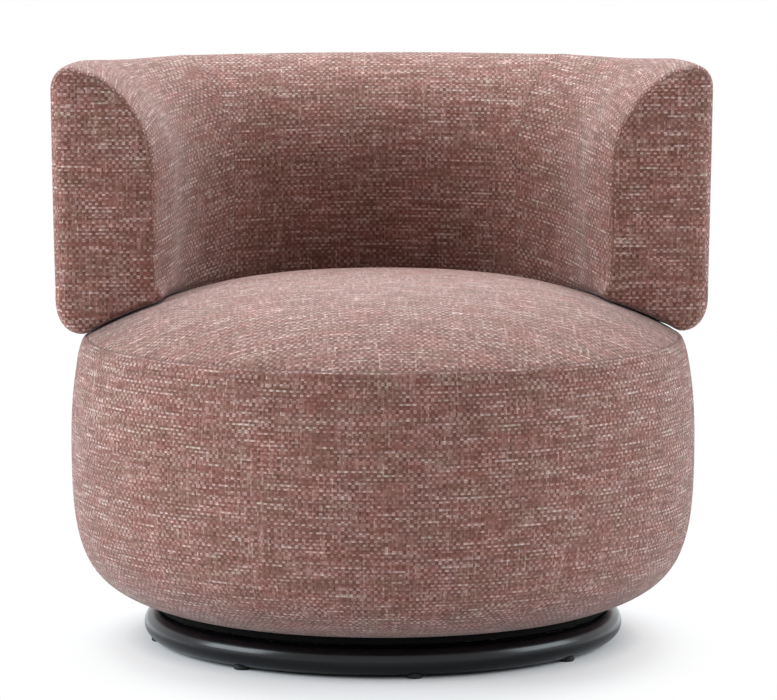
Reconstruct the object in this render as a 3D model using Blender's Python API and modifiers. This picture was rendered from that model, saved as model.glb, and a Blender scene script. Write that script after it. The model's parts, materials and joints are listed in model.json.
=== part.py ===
"""Swivel armchair: a drum seat with a wrap-round back, turning on a steel ring base.

Metres, +Z up. The origin is on the floor, on the swivel's axis, and the chair faces -Y.
A profile is a list of (radius, height) points that runs clockwise: outwards over the top,
down the outer side, and inwards underneath.
"""
import math

import bmesh
import bpy
from mathutils import Matrix, Vector

# Fits
GAP = 0.0003                 # between pieces that touch
FULL_TURN = 2 * math.pi
MERGE = 0.00001              # vertices closer than this are one

# Facets
UPHOLSTERY_STEPS = 40        # round the drum; half of them go round the back
FRAME_STEPS = 19             # of the same size, round the back's frame, between its slot's ends
BOARD_STEPS = 40
RACE_STEPS = 48              # a ball's place is on a corner of this
RING_STEPS = 64
TUBE_STEPS = 12               # round a tube
SCREW_STEPS = 12

# Ring base
RING_RADIUS = 0.268          # to the middle of the tube
RING_TUBE = 0.0337           # outside diameter of the steel tube
GLIDE_COUNT = 8
GLIDE_TURN = math.radians(5)  # first glide, from straight ahead
GLIDE_DIAMETER = 0.019
GLIDE_HEIGHT = 0.0035        # from the floor to the bottom of the tube
GLIDE_SADDLE = 0.0035        # how far the glide's rim reaches up the tube
GLIDE_EDGE = 0.001
SPIDER_THICKNESS = 0.006
SPIDER_ARM_WIDTH = 0.040
SPIDER_FILLET = 0.015
SPIDER_BORE = 0.030
HUB_MARGIN = 0.003           # the hub ends this far inside the ball track

# Ball-bearing turntable
TRACK_RADIUS = 0.105         # circle through the middles of the balls
BALL_DIAMETER = 0.008
BALL_COUNT = 8
BALL_CLEARANCE = 0.0003      # between a ball and its groove
GROOVE_STEPS = 5
RACE_GAP = 0.003             # between the two races
RACE_WIDTH = 0.019
RACE_WALL = 0.00165          # of a race, above and below its balls
RACE_LIFT = 0.001            # the outer race stands this much higher than the inner
CAGE_THICKNESS = 0.0016
CAGE_WALL = 0.001            # above and below its pockets
POCKET_CLEARANCE = 0.0004
PLINTH_CLEARANCE = 0.0015    # between the turning plinth and the ring

# Screws
SCREW_COUNT = 4
SCREW_DIAMETER = 0.005
SCREW_HEAD = 0.009
SCREW_HEAD_HEIGHT = 0.0025
SCREW_CLEARANCE = 0.0003     # between a shank or head and its hole, all round
SOCKET_DIAMETER = 0.004
SOCKET_DEPTH = 0.0015
BASE_SCREW_GRIP = 0.007      # depth in the inner race
SEAT_SCREW_GRIP = 0.008      # depth in the floor board
HOLE_REST = 0.001            # a blind hole goes this much deeper than its screw

# Drum frame
PLINTH_OVERHANG = 0.002      # beyond the middle of the ring's tube
PLINTH_THICKNESS = 0.0145
PLINTH_EDGE = 0.0015
FLOOR_BOARD_LIP = 0.010      # the floor board is wider than the plinth by this
BOARD_THICKNESS = 0.018
SEAT_RING_WIDTH = 0.085
UPRIGHT_COUNT = 6
UPRIGHT_WIDTH = 0.050
UPRIGHT_DEPTH = 0.022
WRAP_THICKNESS = 0.003       # fibreboard
WRAP_RISE = 0.003            # its lower edge above the bottom of the floor board

# Webbing
STRAP_WIDTH = 0.060
STRAP_THICKNESS = 0.0014
STRAPS_EACH_WAY = 3
STRAP_MARGIN = 0.018         # from a strap's end to the edge of the seat ring
STRAP_LANDING = 0.045        # length stapled flat at each end

# Drum upholstery
SEAT_HEIGHT = 0.429          # crown of the seat
SEAT_CROWN = 0.066           # crown above the shoulder seam
CROWN_POWER = 3.0            # 2 is a plain bowl shape, more is flatter with a rounder edge
DRUM_RADIUS = 0.3685
SEAM_INSET = 0.017           # the seam runs this far inside the widest line
WIDEST_HEIGHT = 0.250
SIDE_STEPS = 2
UNDERSIDE_STEPS = 6
SIDE_HANDLE = 0.135          # how long the side stays upright below the widest line
UNDERSIDE_HANDLE = 0.100     # how long the underside stays straight from the hem
UNDERSIDE_SLOPE = math.radians(15.6)
HEM_RISE = 0.0083            # hem above the bottom of the plinth
HEM_GAP = 0.0012             # hem to the plinth's edge
CUSHION_THICKNESS = 0.0993   # at the crown, with its cover
MANTLE_SHELF = 0.0164        # the mantle's flat top inside the cushion's edge
STRAP_ROOM = 0.0047          # between the seat ring and the cushion
COVER_THICKNESS = 0.002
COVER_GAP = 0.0006           # between cover and foam

# Back
BACK_HEIGHT = 0.679          # crest, at the rear
BACK_THICKNESS = 0.130
BACK_OVERHANG = 0.024        # beyond the drum
BACK_LEAN = 0.004            # the outer wall comes in this much at its foot
BACK_TOP_RADIUS = 0.033
BACK_FOOT_RADIUS = 0.028
BACK_SLOPE_DROP = 0.125      # height of the rounded inner top edge
BACK_SLOPE_POWER = 1.75      # 2 is an ellipse, less is flatter
BACK_TOE_RADIUS = 0.010      # inner bottom edge
ARM_UNDERSIDE_RISE = 0.002   # above the shoulder seam
ARM_PUFF = 0.009             # the crest rises this much towards the arm ends
ARM_PUFF_ANGLE = math.radians(38)
ARM_EDGE = 0.012             # rounding of the arm-end panels
SEAT_CLEARANCE = 0.0006      # between back cover and seat cover
TOP_STEPS = 3
SLOPE_STEPS = 6
FOOT_STEPS = 2
EDGE_STEPS = 2

# Back frame
FOAM_IN_FRONT = 0.056        # foam between the inner face and the frame's slot
SLOT_CLEARANCE = 0.0005
BRACKET_THICKNESS = 0.005
BRACKET_WIDTH = 0.030
BRACKET_COUNT = 3
BRACKET_SPREAD = math.radians(60)
BRACKET_FOOT = 0.145         # length down the side of the seat frame
BRACKET_COVER = 0.007        # the joggle ends this far below the seat's top
BRACKET_ROOM = 0.0005        # between a bracket and the foam round it
BOLT_DIAMETER = 0.006
BOLT_HEAD = 0.011
BOLT_HEAD_HEIGHT = 0.004
BOLT_GRIP = 0.014            # depth in the upright
BOLT_DROP = 0.075            # below the seat ring
HOOP_TUBE = 0.020
HOOP_DROP = 0.061            # from the crest to the hoop
HOOP_BEND = 0.045            # bend radius
HOOP_BEND_STEPS = 4
LOWER_RAIL_RISE = 0.077      # above the shoulder seam
PANEL_THICKNESS = 0.003
SLOT_MARGIN = 0.004          # slot above the panel

# Heights, from the floor up
RING_HEIGHT = GLIDE_HEIGHT + RING_TUBE / 2
RACE_HEIGHT = BALL_DIAMETER + 2 * RACE_WALL
CAGE_HEIGHT = BALL_DIAMETER + 2 * (POCKET_CLEARANCE + CAGE_WALL)
PLINTH_BOTTOM = GLIDE_HEIGHT + RING_TUBE + PLINTH_CLEARANCE
OUTER_RACE_TOP = PLINTH_BOTTOM - GAP
OUTER_RACE_BOTTOM = OUTER_RACE_TOP - RACE_HEIGHT
INNER_RACE_BOTTOM = OUTER_RACE_BOTTOM - RACE_LIFT
BALL_HEIGHT = INNER_RACE_BOTTOM + RACE_HEIGHT / 2
SPIDER_TOP = INNER_RACE_BOTTOM - GAP
SPIDER_BOTTOM = SPIDER_TOP - SPIDER_THICKNESS
PLINTH_TOP = PLINTH_BOTTOM + PLINTH_THICKNESS
FLOOR_BOARD_BOTTOM = PLINTH_TOP + GAP
FLOOR_BOARD_TOP = FLOOR_BOARD_BOTTOM + BOARD_THICKNESS
CUSHION_BOTTOM = SEAT_HEIGHT - CUSHION_THICKNESS
SEAT_RING_TOP = CUSHION_BOTTOM - STRAP_ROOM
SEAT_RING_BOTTOM = SEAT_RING_TOP - BOARD_THICKNESS
SEAM_HEIGHT = SEAT_HEIGHT - SEAT_CROWN
HEM_HEIGHT = PLINTH_BOTTOM + HEM_RISE
ARM_UNDERSIDE = SEAM_HEIGHT + ARM_UNDERSIDE_RISE
HOOP_HEIGHT = BACK_HEIGHT - HOOP_DROP
LOWER_RAIL_HEIGHT = SEAM_HEIGHT + LOWER_RAIL_RISE
FRAME_TOP = HOOP_HEIGHT + HOOP_TUBE / 2
SLOT_TOP = FRAME_TOP + SLOT_MARGIN

# Radii, from the middle out
HUB_RADIUS = TRACK_RADIUS - HUB_MARGIN
SEAM_RADIUS = DRUM_RADIUS - SEAM_INSET
PLINTH_RADIUS = RING_RADIUS + PLINTH_OVERHANG
HEM_RADIUS = PLINTH_RADIUS + HEM_GAP
FRAME_RADIUS = PLINTH_RADIUS + FLOOR_BOARD_LIP
SEAT_RING_OPENING = FRAME_RADIUS - SEAT_RING_WIDTH
WRAP_INSIDE = FRAME_RADIUS + GAP
WRAP_OUTSIDE = WRAP_INSIDE + WRAP_THICKNESS
MANTLE_INSIDE = WRAP_OUTSIDE + GAP
CUSHION_FLAT = MANTLE_INSIDE + MANTLE_SHELF
BACK_OUTSIDE = DRUM_RADIUS + BACK_OVERHANG
BACK_INSIDE = BACK_OUTSIDE - BACK_THICKNESS
SLOT_INSIDE = BACK_INSIDE + FOAM_IN_FRONT
BRACKET_INSIDE = SLOT_INSIDE + SLOT_CLEARANCE
FACET = FULL_TURN / UPHOLSTERY_STEPS
BRACKET_CORNER = math.hypot(BRACKET_INSIDE + BRACKET_THICKNESS, BRACKET_WIDTH / 2)
HOOP_RADIUS = (BRACKET_CORNER + GAP / 2 + HOOP_TUBE / 2) / math.cos(FACET / 2)
PANEL_INSIDE = HOOP_RADIUS + HOOP_TUBE / 2 + GAP
SLOT_OUTSIDE = PANEL_INSIDE + PANEL_THICKNESS + SLOT_CLEARANCE
INNER_SCREW_CIRCLE = TRACK_RADIUS - RACE_GAP / 2 - RACE_WIDTH * 0.58
OUTER_SCREW_CIRCLE = TRACK_RADIUS + RACE_GAP / 2 + RACE_WIDTH * 0.58
BRACKET_FOOT_INSIDE = MANTLE_INSIDE


def clear_scene():
    for obj in list(bpy.data.objects):
        bpy.data.objects.remove(obj)


def new_collection(name):
    collection = bpy.data.collections.new(name)
    bpy.context.scene.collection.children.link(collection)
    return collection


def new_material(name, colour, roughness, metallic=0.0):
    material = bpy.data.materials.new(name)
    material.use_nodes = True
    shader = material.node_tree.nodes["Principled BSDF"]
    shader.inputs["Base Color"].default_value = (*colour, 1)
    shader.inputs["Roughness"].default_value = roughness
    shader.inputs["Metallic"].default_value = metallic
    material.diffuse_color = (*colour, 1)
    return material


clear_scene()
PARTS = new_collection("swivel_armchair")
CUTTERS = new_collection("cutters")
BASE = bpy.data.objects.new("base_body", None)
BEARING = bpy.data.objects.new("bearing_body", None)
SEAT = bpy.data.objects.new("seat_body", None)
for body_empty in (BASE, BEARING, SEAT):
    PARTS.objects.link(body_empty)

POWDER_COAT = new_material("black_powder_coat", (0.012, 0.012, 0.014), 0.35)
ZINC = new_material("zinc_plated_steel", (0.55, 0.55, 0.52), 0.35, 1.0)
BEARING_STEEL = new_material("bearing_steel", (0.6, 0.6, 0.62), 0.2, 1.0)
ALUMINIUM = new_material("turned_aluminium", (0.6, 0.61, 0.62), 0.35, 1.0)
NYLON = new_material("natural_nylon", (0.75, 0.72, 0.62), 0.45)
RUBBER = new_material("black_rubber", (0.015, 0.015, 0.015), 0.8)
BLACK_BOARD = new_material("black_stained_plywood", (0.015, 0.014, 0.013), 0.6)
PLYWOOD = new_material("birch_plywood", (0.55, 0.38, 0.2), 0.6)
BEECH = new_material("beech", (0.5, 0.3, 0.15), 0.55)
FIBREBOARD = new_material("hardboard", (0.2, 0.11, 0.05), 0.7)
WEB = new_material("elastic_webbing", (0.05, 0.04, 0.035), 0.85)
FOAM = new_material("polyurethane_foam", (0.75, 0.68, 0.45), 0.95)
FABRIC = new_material("terracotta_basket_weave", (0.27, 0.13, 0.11), 0.9)


def place(obj, material, body):
    """Put a finished part in the model, with its material, on its body."""
    PARTS.objects.link(obj)
    obj.data.materials.append(material)
    obj.parent = body
    return obj


def place_cutter(obj):
    CUTTERS.objects.link(obj)
    obj.hide_render = True
    obj.display_type = "WIRE"
    return obj


def cut(obj, *cutters):
    """Take the cutters' shapes out of the object."""
    for cutter in cutters:
        step = obj.modifiers.new("cut_" + cutter.name, "BOOLEAN")
        step.operation = "DIFFERENCE"
        step.solver = "EXACT"
        step.object = cutter


def mesh_object(name, bm):
    """An object from a bmesh, smooth except at its real edges."""
    bmesh.ops.recalc_face_normals(bm, faces=bm.faces)
    mesh = bpy.data.meshes.new(name)
    bm.to_mesh(mesh)
    bm.free()
    mesh.shade_smooth()
    mesh.set_sharp_from_angle(angle=math.radians(40))
    return bpy.data.objects.new(name, mesh)


def skin(bm, rings, left_open=()):
    """Join rings of points into a tube with both ends filled.

    left_open has the (ring, point) places of the quads that are left out.
    """
    loops = [[bm.verts.new(point) for point in ring] for ring in rings]
    count = len(loops[0])
    for k in range(len(loops) - 1):
        for j in range(count):
            if (k, j) in left_open:
                continue
            after = (j + 1) % count
            bm.faces.new((loops[k][j], loops[k][after], loops[k + 1][after], loops[k + 1][j]))
    bm.faces.new(loops[0])
    bm.faces.new(loops[-1])


def lofted(name, rings, left_open=()):
    bm = bmesh.new()
    skin(bm, rings, left_open)
    return mesh_object(name, bm)


def turned(name, profile, steps, closed=False):
    """A profile swept once round Z. A closed one is a ring, an open one ends on the axis or is a sheet."""
    mesh = bpy.data.meshes.new(name)
    count = len(profile)
    edges = [(i, i + 1) for i in range(count - 1)]
    if closed:
        edges.append((count - 1, 0))
    mesh.from_pydata([(r, 0, z) for r, z in profile], edges, [])
    obj = bpy.data.objects.new(name, mesh)
    turn = obj.modifiers.new("turn", "SCREW")
    turn.axis = "Z"
    turn.angle = FULL_TURN
    turn.steps = steps
    turn.render_steps = steps
    turn.use_merge_vertices = True
    turn.merge_threshold = MERGE
    return obj


def upright_at(circle, angle):
    """Places an upright pin on a circle."""
    return Matrix.Translation((circle * math.cos(angle), circle * math.sin(angle), 0))


def radial_at(height, angle):
    """Places a pin so that it points away from the chair's axis."""
    turn = Matrix.Rotation(angle, 4, "Z") @ Matrix.Rotation(math.pi / 2, 4, "Y")
    return Matrix.Translation((0, 0, height)) @ turn


def pins(name, profile, places, steps=SCREW_STEPS):
    """Solid pins turned from (radius, distance) points, one at each place."""
    bm = bmesh.new()
    for matrix in places:
        rings = []
        for radius, distance in profile:
            ring = [(radius * math.cos(a), radius * math.sin(a), distance) for a in around(steps)]
            rings.append([matrix @ Vector(point) for point in ring])
        skin(bm, rings)
    return mesh_object(name, bm)


def plate(name, outline, low, high):
    """A flat plate from its (x, y) outline."""
    return lofted(name, [[(x, y, z) for x, y in outline] for z in (low, high)])


def around(count, first=0.0):
    """Evenly spaced angles of a full turn."""
    return [first + FULL_TURN * i / count for i in range(count)]


def arc(centre, radius, start, end, steps):
    """Points along an arc, with its angles in degrees from straight out, anticlockwise."""
    points = []
    for i in range(steps + 1):
        angle = math.radians(start + (end - start) * i / steps)
        points.append((centre[0] + radius * math.cos(angle), centre[1] + radius * math.sin(angle)))
    return points


def inset(points, distance, closed=False):
    """Move a clockwise outline inwards, or outwards when distance is negative. Corners stay corners."""
    count = len(points)
    moved = []
    for i, (r, z) in enumerate(points):
        here = Vector((r, z))
        sides = []
        if closed or i > 0:
            sides.append(here - Vector(points[i - 1]))
        if closed or i < count - 1:
            sides.append(Vector(points[(i + 1) % count]) - here)
        normals = [Vector((-side.y, side.x)).normalized() for side in sides]
        if len(normals) == 2:
            shift = (normals[0] + normals[1]) / (1 + normals[0].dot(normals[1]))
        else:
            shift = normals[0]
        moved.append(tuple(here - shift * distance))
    return moved


def swept(name, outline, angles):
    """A closed outline swept part of the way round Z, through the given angles."""
    return lofted(name, [[(r * math.cos(a), r * math.sin(a), z) for r, z in outline] for a in angles])


def strip(name, outline, width, angle):
    """A bent strip: its side outline in the radial plane at an angle, made width wide about it."""
    turn = Matrix.Rotation(angle, 3, "Z")
    sides = [[turn @ Vector((r, y, z)) for r, z in outline] for y in (-width / 2, width / 2)]
    return lofted(name, sides)


def tube(name, points, diameter):
    """A bent tube along points."""
    curve = bpy.data.curves.new(name, "CURVE")
    curve.dimensions = "3D"
    curve.resolution_u = 1
    curve.bevel_depth = diameter / 2
    curve.bevel_resolution = TUBE_STEPS // 2 - 2
    curve.use_fill_caps = True
    spline = curve.splines.new("POLY")
    spline.points.add(len(points) - 1)
    for spot, point in zip(spline.points, points):
        spot.co = (*point, 1)
    source = bpy.data.objects.new(name, curve)
    mesh = bpy.data.meshes.new_from_object(source)
    bpy.data.objects.remove(source)
    bpy.data.curves.remove(curve)
    bm = bmesh.new()
    bm.from_mesh(mesh)
    bpy.data.meshes.remove(mesh)
    bmesh.ops.remove_doubles(bm, verts=bm.verts, dist=MERGE)
    return mesh_object(name, bm)


def ring_profile(tube_radius):
    """The ring's tube, clockwise. The ring and what is shaped to fit it use the same facets."""
    return [(RING_RADIUS + tube_radius * math.cos(-a), RING_HEIGHT + tube_radius * math.sin(-a))
            for a in around(TUBE_STEPS)]


def build_base():
    """The ring, its glides and the spider plate."""
    place(turned("base_ring", ring_profile(RING_TUBE / 2), RING_STEPS, closed=True), POWDER_COAT, BASE)
    fit = place_cutter(turned("ring_fit", ring_profile(RING_TUBE / 2 + GAP), RING_STEPS, closed=True))

    pad = GLIDE_DIAMETER / 2
    profile = [(pad - GLIDE_EDGE, 0), (pad, GLIDE_EDGE), (pad, GLIDE_HEIGHT + GLIDE_SADDLE)]
    first = -math.pi / 2 + GLIDE_TURN
    for i, angle in enumerate(around(GLIDE_COUNT, first)):
        glide = pins("glide_%d" % (i + 1), profile, [upright_at(RING_RADIUS, angle)], steps=16)
        cut(place(glide, RUBBER, BASE), fit)

    spider = plate("base_spider", spider_outline(), SPIDER_BOTTOM, SPIDER_TOP)
    hole = SCREW_DIAMETER / 2 + SCREW_CLEARANCE
    through = [(hole, SPIDER_BOTTOM - GAP), (hole, SPIDER_TOP + GAP)]
    screw_holes = pins("spider_screw_holes", through, screw_places(INNER_SCREW_CIRCLE))
    bore = [(SPIDER_BORE / 2, low) for low in (SPIDER_BOTTOM - GAP, SPIDER_TOP + GAP)]
    bore_hole = pins("spider_bore", bore, [Matrix()], steps=24)
    cut(place(spider, POWDER_COAT, BASE), fit, place_cutter(screw_holes), place_cutter(bore_hole))


def spider_outline():
    """A hub with four arms and a fillet in each corner, clockwise."""
    half = SPIDER_ARM_WIDTH / 2
    fillet_height = half + SPIDER_FILLET
    reach = HUB_RADIUS + SPIDER_FILLET
    centre = (math.sqrt(reach ** 2 - fillet_height ** 2), fillet_height)
    hub_angle = math.degrees(math.atan2(centre[1], centre[0]))
    fillet = arc(centre, SPIDER_FILLET, -90, hub_angle - 180, 3)
    hub = arc((0, 0), HUB_RADIUS, hub_angle, 90 - hub_angle, 6)[1:-1]
    mirrored = [(y, x) for x, y in reversed(fillet)]
    quarter = [(RING_RADIUS, half)] + fillet + hub + mirrored + [(half, RING_RADIUS)]
    outline = []
    for i in range(4):
        turn = Matrix.Rotation(math.pi / 2 * i, 2)
        outline += [tuple(turn @ Vector(point)) for point in quarter]
    return outline


def screw_places(circle):
    return [upright_at(circle, angle) for angle in around(SCREW_COUNT, math.pi / 4)]


def groove(side):
    """The ball groove in one race, from top to bottom; side is 1 for the outer race, -1 for the inner."""
    radius = BALL_DIAMETER / 2 + BALL_CLEARANCE
    half = math.degrees(math.acos(RACE_GAP / 2 / radius))
    points = arc((TRACK_RADIUS, BALL_HEIGHT), radius, half, -half, GROOVE_STEPS)
    return [(TRACK_RADIUS + side * (r - TRACK_RADIUS), z) for r, z in points]


def build_bearing():
    """Two races, the cage and its balls, and the screws that hold the races."""
    hole = SCREW_DIAMETER / 2 + SCREW_CLEARANCE
    shank = SCREW_DIAMETER / 2
    head = SCREW_HEAD / 2

    inner_face = TRACK_RADIUS - RACE_GAP / 2
    inner_top = INNER_RACE_BOTTOM + RACE_HEIGHT
    profile = [(inner_face - RACE_WIDTH, inner_top), (inner_face, inner_top)] + groove(-1)
    profile += [(inner_face, INNER_RACE_BOTTOM), (inner_face - RACE_WIDTH, INNER_RACE_BOTTOM)]
    inner_race = place(turned("bearing_inner_race", profile, RACE_STEPS, closed=True), ALUMINIUM, BASE)
    tip = INNER_RACE_BOTTOM + BASE_SCREW_GRIP
    blind = [(hole, INNER_RACE_BOTTOM - GAP), (hole, tip + HOLE_REST)]
    cut(inner_race, place_cutter(pins("inner_race_holes", blind, screw_places(INNER_SCREW_CIRCLE))))

    head_top = SPIDER_BOTTOM - GAP
    head_bottom = head_top - SCREW_HEAD_HEIGHT
    socket = SOCKET_DIAMETER / 2
    profile = [(socket, head_bottom + SOCKET_DEPTH), (socket, head_bottom), (head, head_bottom),
               (head, head_top), (shank, head_top), (shank, tip)]
    for i, spot in enumerate(screw_places(INNER_SCREW_CIRCLE)):
        place(pins("base_screw_%d" % (i + 1), profile, [spot]), ZINC, BASE)

    outer_face = TRACK_RADIUS + RACE_GAP / 2
    outer_edge = outer_face + RACE_WIDTH
    profile = [(outer_face, OUTER_RACE_TOP), (outer_edge, OUTER_RACE_TOP), (outer_edge, OUTER_RACE_BOTTOM),
               (outer_face, OUTER_RACE_BOTTOM)] + list(reversed(groove(1)))
    outer_race = place(turned("bearing_outer_race", profile, RACE_STEPS, closed=True), ALUMINIUM, SEAT)
    cone = head - shank
    sink = [(head + SCREW_CLEARANCE, OUTER_RACE_BOTTOM - GAP),
            (head + SCREW_CLEARANCE, OUTER_RACE_BOTTOM + 2 * GAP),
            (hole, OUTER_RACE_BOTTOM + 2 * GAP + cone), (hole, OUTER_RACE_TOP + GAP)]
    cut(outer_race, place_cutter(pins("outer_race_holes", sink, screw_places(OUTER_SCREW_CIRCLE))))

    tip = FLOOR_BOARD_BOTTOM + SEAT_SCREW_GRIP
    profile = [(head, OUTER_RACE_BOTTOM), (head, OUTER_RACE_BOTTOM + 2 * GAP),
               (shank, OUTER_RACE_BOTTOM + 2 * GAP + cone), (shank, tip)]
    for i, spot in enumerate(screw_places(OUTER_SCREW_CIRCLE)):
        place(pins("seat_screw_%d" % (i + 1), profile, [spot]), ZINC, SEAT)
    through = [(hole, PLINTH_BOTTOM - GAP), (hole, tip + HOLE_REST)]
    seat_holes = place_cutter(pins("seat_screw_holes", through, screw_places(OUTER_SCREW_CIRCLE)))

    low = BALL_HEIGHT - CAGE_HEIGHT / 2
    high = BALL_HEIGHT + CAGE_HEIGHT / 2
    inside = TRACK_RADIUS - CAGE_THICKNESS / 2
    outside = TRACK_RADIUS + CAGE_THICKNESS / 2
    profile = [(inside, high), (outside, high), (outside, low), (inside, low)]
    cage = place(turned("ball_cage", profile, RACE_STEPS, closed=True), NYLON, BEARING)
    pocket = BALL_DIAMETER / 2 + POCKET_CLEARANCE
    pockets = pins("cage_pockets", [(pocket, inside - RACE_GAP), (pocket, outside + RACE_GAP)],
                   [radial_at(BALL_HEIGHT, angle) for angle in around(BALL_COUNT)], steps=16)
    cut(cage, place_cutter(pockets))
    for i, angle in enumerate(around(BALL_COUNT)):
        spot = upright_at(TRACK_RADIUS, angle) @ Matrix.Translation((0, 0, BALL_HEIGHT))
        bm = bmesh.new()
        bmesh.ops.create_uvsphere(bm, u_segments=10, v_segments=6, radius=BALL_DIAMETER / 2, matrix=spot)
        place(mesh_object("bearing_ball_%d" % (i + 1), bm), BEARING_STEEL, BEARING)
    return seat_holes


def bracket_angles():
    middle = (BRACKET_COUNT - 1) / 2
    return [math.pi / 2 + BRACKET_SPREAD * (i - middle) for i in range(BRACKET_COUNT)]


def bracket_outline():
    """Side outline of a bracket: up the seat frame, out over its shoulder, up into the back."""
    end = dome_height(BRACKET_INSIDE + BRACKET_THICKNESS) - BRACKET_COVER
    start = end - abs(BRACKET_INSIDE - BRACKET_FOOT_INSIDE)
    face = [(BRACKET_FOOT_INSIDE, SEAT_RING_TOP - BRACKET_FOOT), (BRACKET_FOOT_INSIDE, start),
            (BRACKET_INSIDE, end), (BRACKET_INSIDE, FRAME_TOP)]
    return face + list(reversed(inset(face, BRACKET_THICKNESS)))


def build_seat_frame(seat_holes):
    """The boards, uprights, wrap and webbing of the drum, and the brackets that carry the back."""
    edge = PLINTH_EDGE
    profile = [(0, PLINTH_TOP), (PLINTH_RADIUS, PLINTH_TOP), (PLINTH_RADIUS, PLINTH_BOTTOM + edge),
               (PLINTH_RADIUS - edge, PLINTH_BOTTOM), (0, PLINTH_BOTTOM)]
    cut(place(turned("plinth_board", profile, BOARD_STEPS), BLACK_BOARD, SEAT), seat_holes)
    profile = [(0, FLOOR_BOARD_TOP), (FRAME_RADIUS, FLOOR_BOARD_TOP), (FRAME_RADIUS, FLOOR_BOARD_BOTTOM),
               (0, FLOOR_BOARD_BOTTOM)]
    cut(place(turned("floor_board", profile, BOARD_STEPS), PLYWOOD, SEAT), seat_holes)
    profile = [(SEAT_RING_OPENING, SEAT_RING_TOP), (FRAME_RADIUS, SEAT_RING_TOP),
               (FRAME_RADIUS, SEAT_RING_BOTTOM), (SEAT_RING_OPENING, SEAT_RING_BOTTOM)]
    place(turned("seat_ring_board", profile, BOARD_STEPS, closed=True), PLYWOOD, SEAT)

    bolt_height = SEAT_RING_TOP - BOLT_DROP
    shank = BOLT_DIAMETER / 2
    side = UPRIGHT_WIDTH / 2
    post_face = math.sqrt((WRAP_INSIDE * math.cos(math.pi / BOARD_STEPS) - GAP) ** 2 - side ** 2)
    tip = post_face - BOLT_GRIP
    head_face = BRACKET_FOOT_INSIDE + BRACKET_THICKNESS + GAP
    bolt_places = [radial_at(bolt_height, angle) for angle in bracket_angles()]
    hole = [(shank + SCREW_CLEARANCE, tip - HOLE_REST), (shank + SCREW_CLEARANCE, head_face)]
    bolt_holes = place_cutter(pins("bracket_bolt_holes", hole, bolt_places))

    profile = [(WRAP_INSIDE, SEAT_RING_TOP - GAP), (WRAP_OUTSIDE, SEAT_RING_TOP - GAP),
               (WRAP_OUTSIDE, FLOOR_BOARD_BOTTOM + WRAP_RISE), (WRAP_INSIDE, FLOOR_BOARD_BOTTOM + WRAP_RISE)]
    cut(place(turned("drum_shell", profile, BOARD_STEPS, closed=True), FIBREBOARD, SEAT), bolt_holes)

    back = post_face - UPRIGHT_DEPTH
    for i, angle in enumerate(around(UPRIGHT_COUNT, math.pi / UPRIGHT_COUNT)):
        turn = Matrix.Rotation(angle, 2)
        corners = [tuple(turn @ Vector(p)) for p in ((back, -side), (post_face, -side),
                                                     (post_face, side), (back, side))]
        post = plate("upright_%d" % (i + 1), corners, FLOOR_BOARD_TOP + GAP, SEAT_RING_BOTTOM - GAP)
        place(post, BEECH, SEAT)
        if any(abs(angle - other) < MERGE for other in bracket_angles()):
            cut(post, bolt_holes)

    outline = bracket_outline()
    head = BOLT_HEAD / 2
    head_profile = [(shank, tip), (shank, head_face), (head, head_face), (head, head_face + BOLT_HEAD_HEIGHT),
                    (SOCKET_DIAMETER / 2, head_face + BOLT_HEAD_HEIGHT),
                    (SOCKET_DIAMETER / 2, head_face + BOLT_HEAD_HEIGHT - SOCKET_DEPTH)]
    for i, angle in enumerate(bracket_angles()):
        bracket = place(strip("back_bracket_%d" % (i + 1), outline, BRACKET_WIDTH, angle), ZINC, SEAT)
        cut(bracket, bolt_holes)
        place(pins("bracket_bolt_%d" % (i + 1), head_profile, [bolt_places[i]]), ZINC, SEAT)
    build_webbing()


def bracket_rooms():
    """Cutters for the slots that the brackets run in, and for their bolts' heads."""
    room = inset(bracket_outline(), -BRACKET_ROOM, closed=True)
    room[:2] = [(r - WRAP_THICKNESS / 2, z) for r, z in room[:2]]
    slots = [place_cutter(strip("bracket_slot_%d" % (i + 1), room, BRACKET_WIDTH + 2 * BRACKET_ROOM, angle))
             for i, angle in enumerate(bracket_angles())]
    radius = BOLT_HEAD / 2 + BRACKET_ROOM
    face = BRACKET_FOOT_INSIDE + BRACKET_THICKNESS / 2
    end = BRACKET_FOOT_INSIDE + BRACKET_THICKNESS + GAP + BOLT_HEAD_HEIGHT + BRACKET_ROOM
    places = [radial_at(SEAT_RING_TOP - BOLT_DROP, angle) for angle in bracket_angles()]
    heads = place_cutter(pins("bolt_head_rooms", [(radius, face), (radius, end)], places))
    return slots, heads


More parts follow.
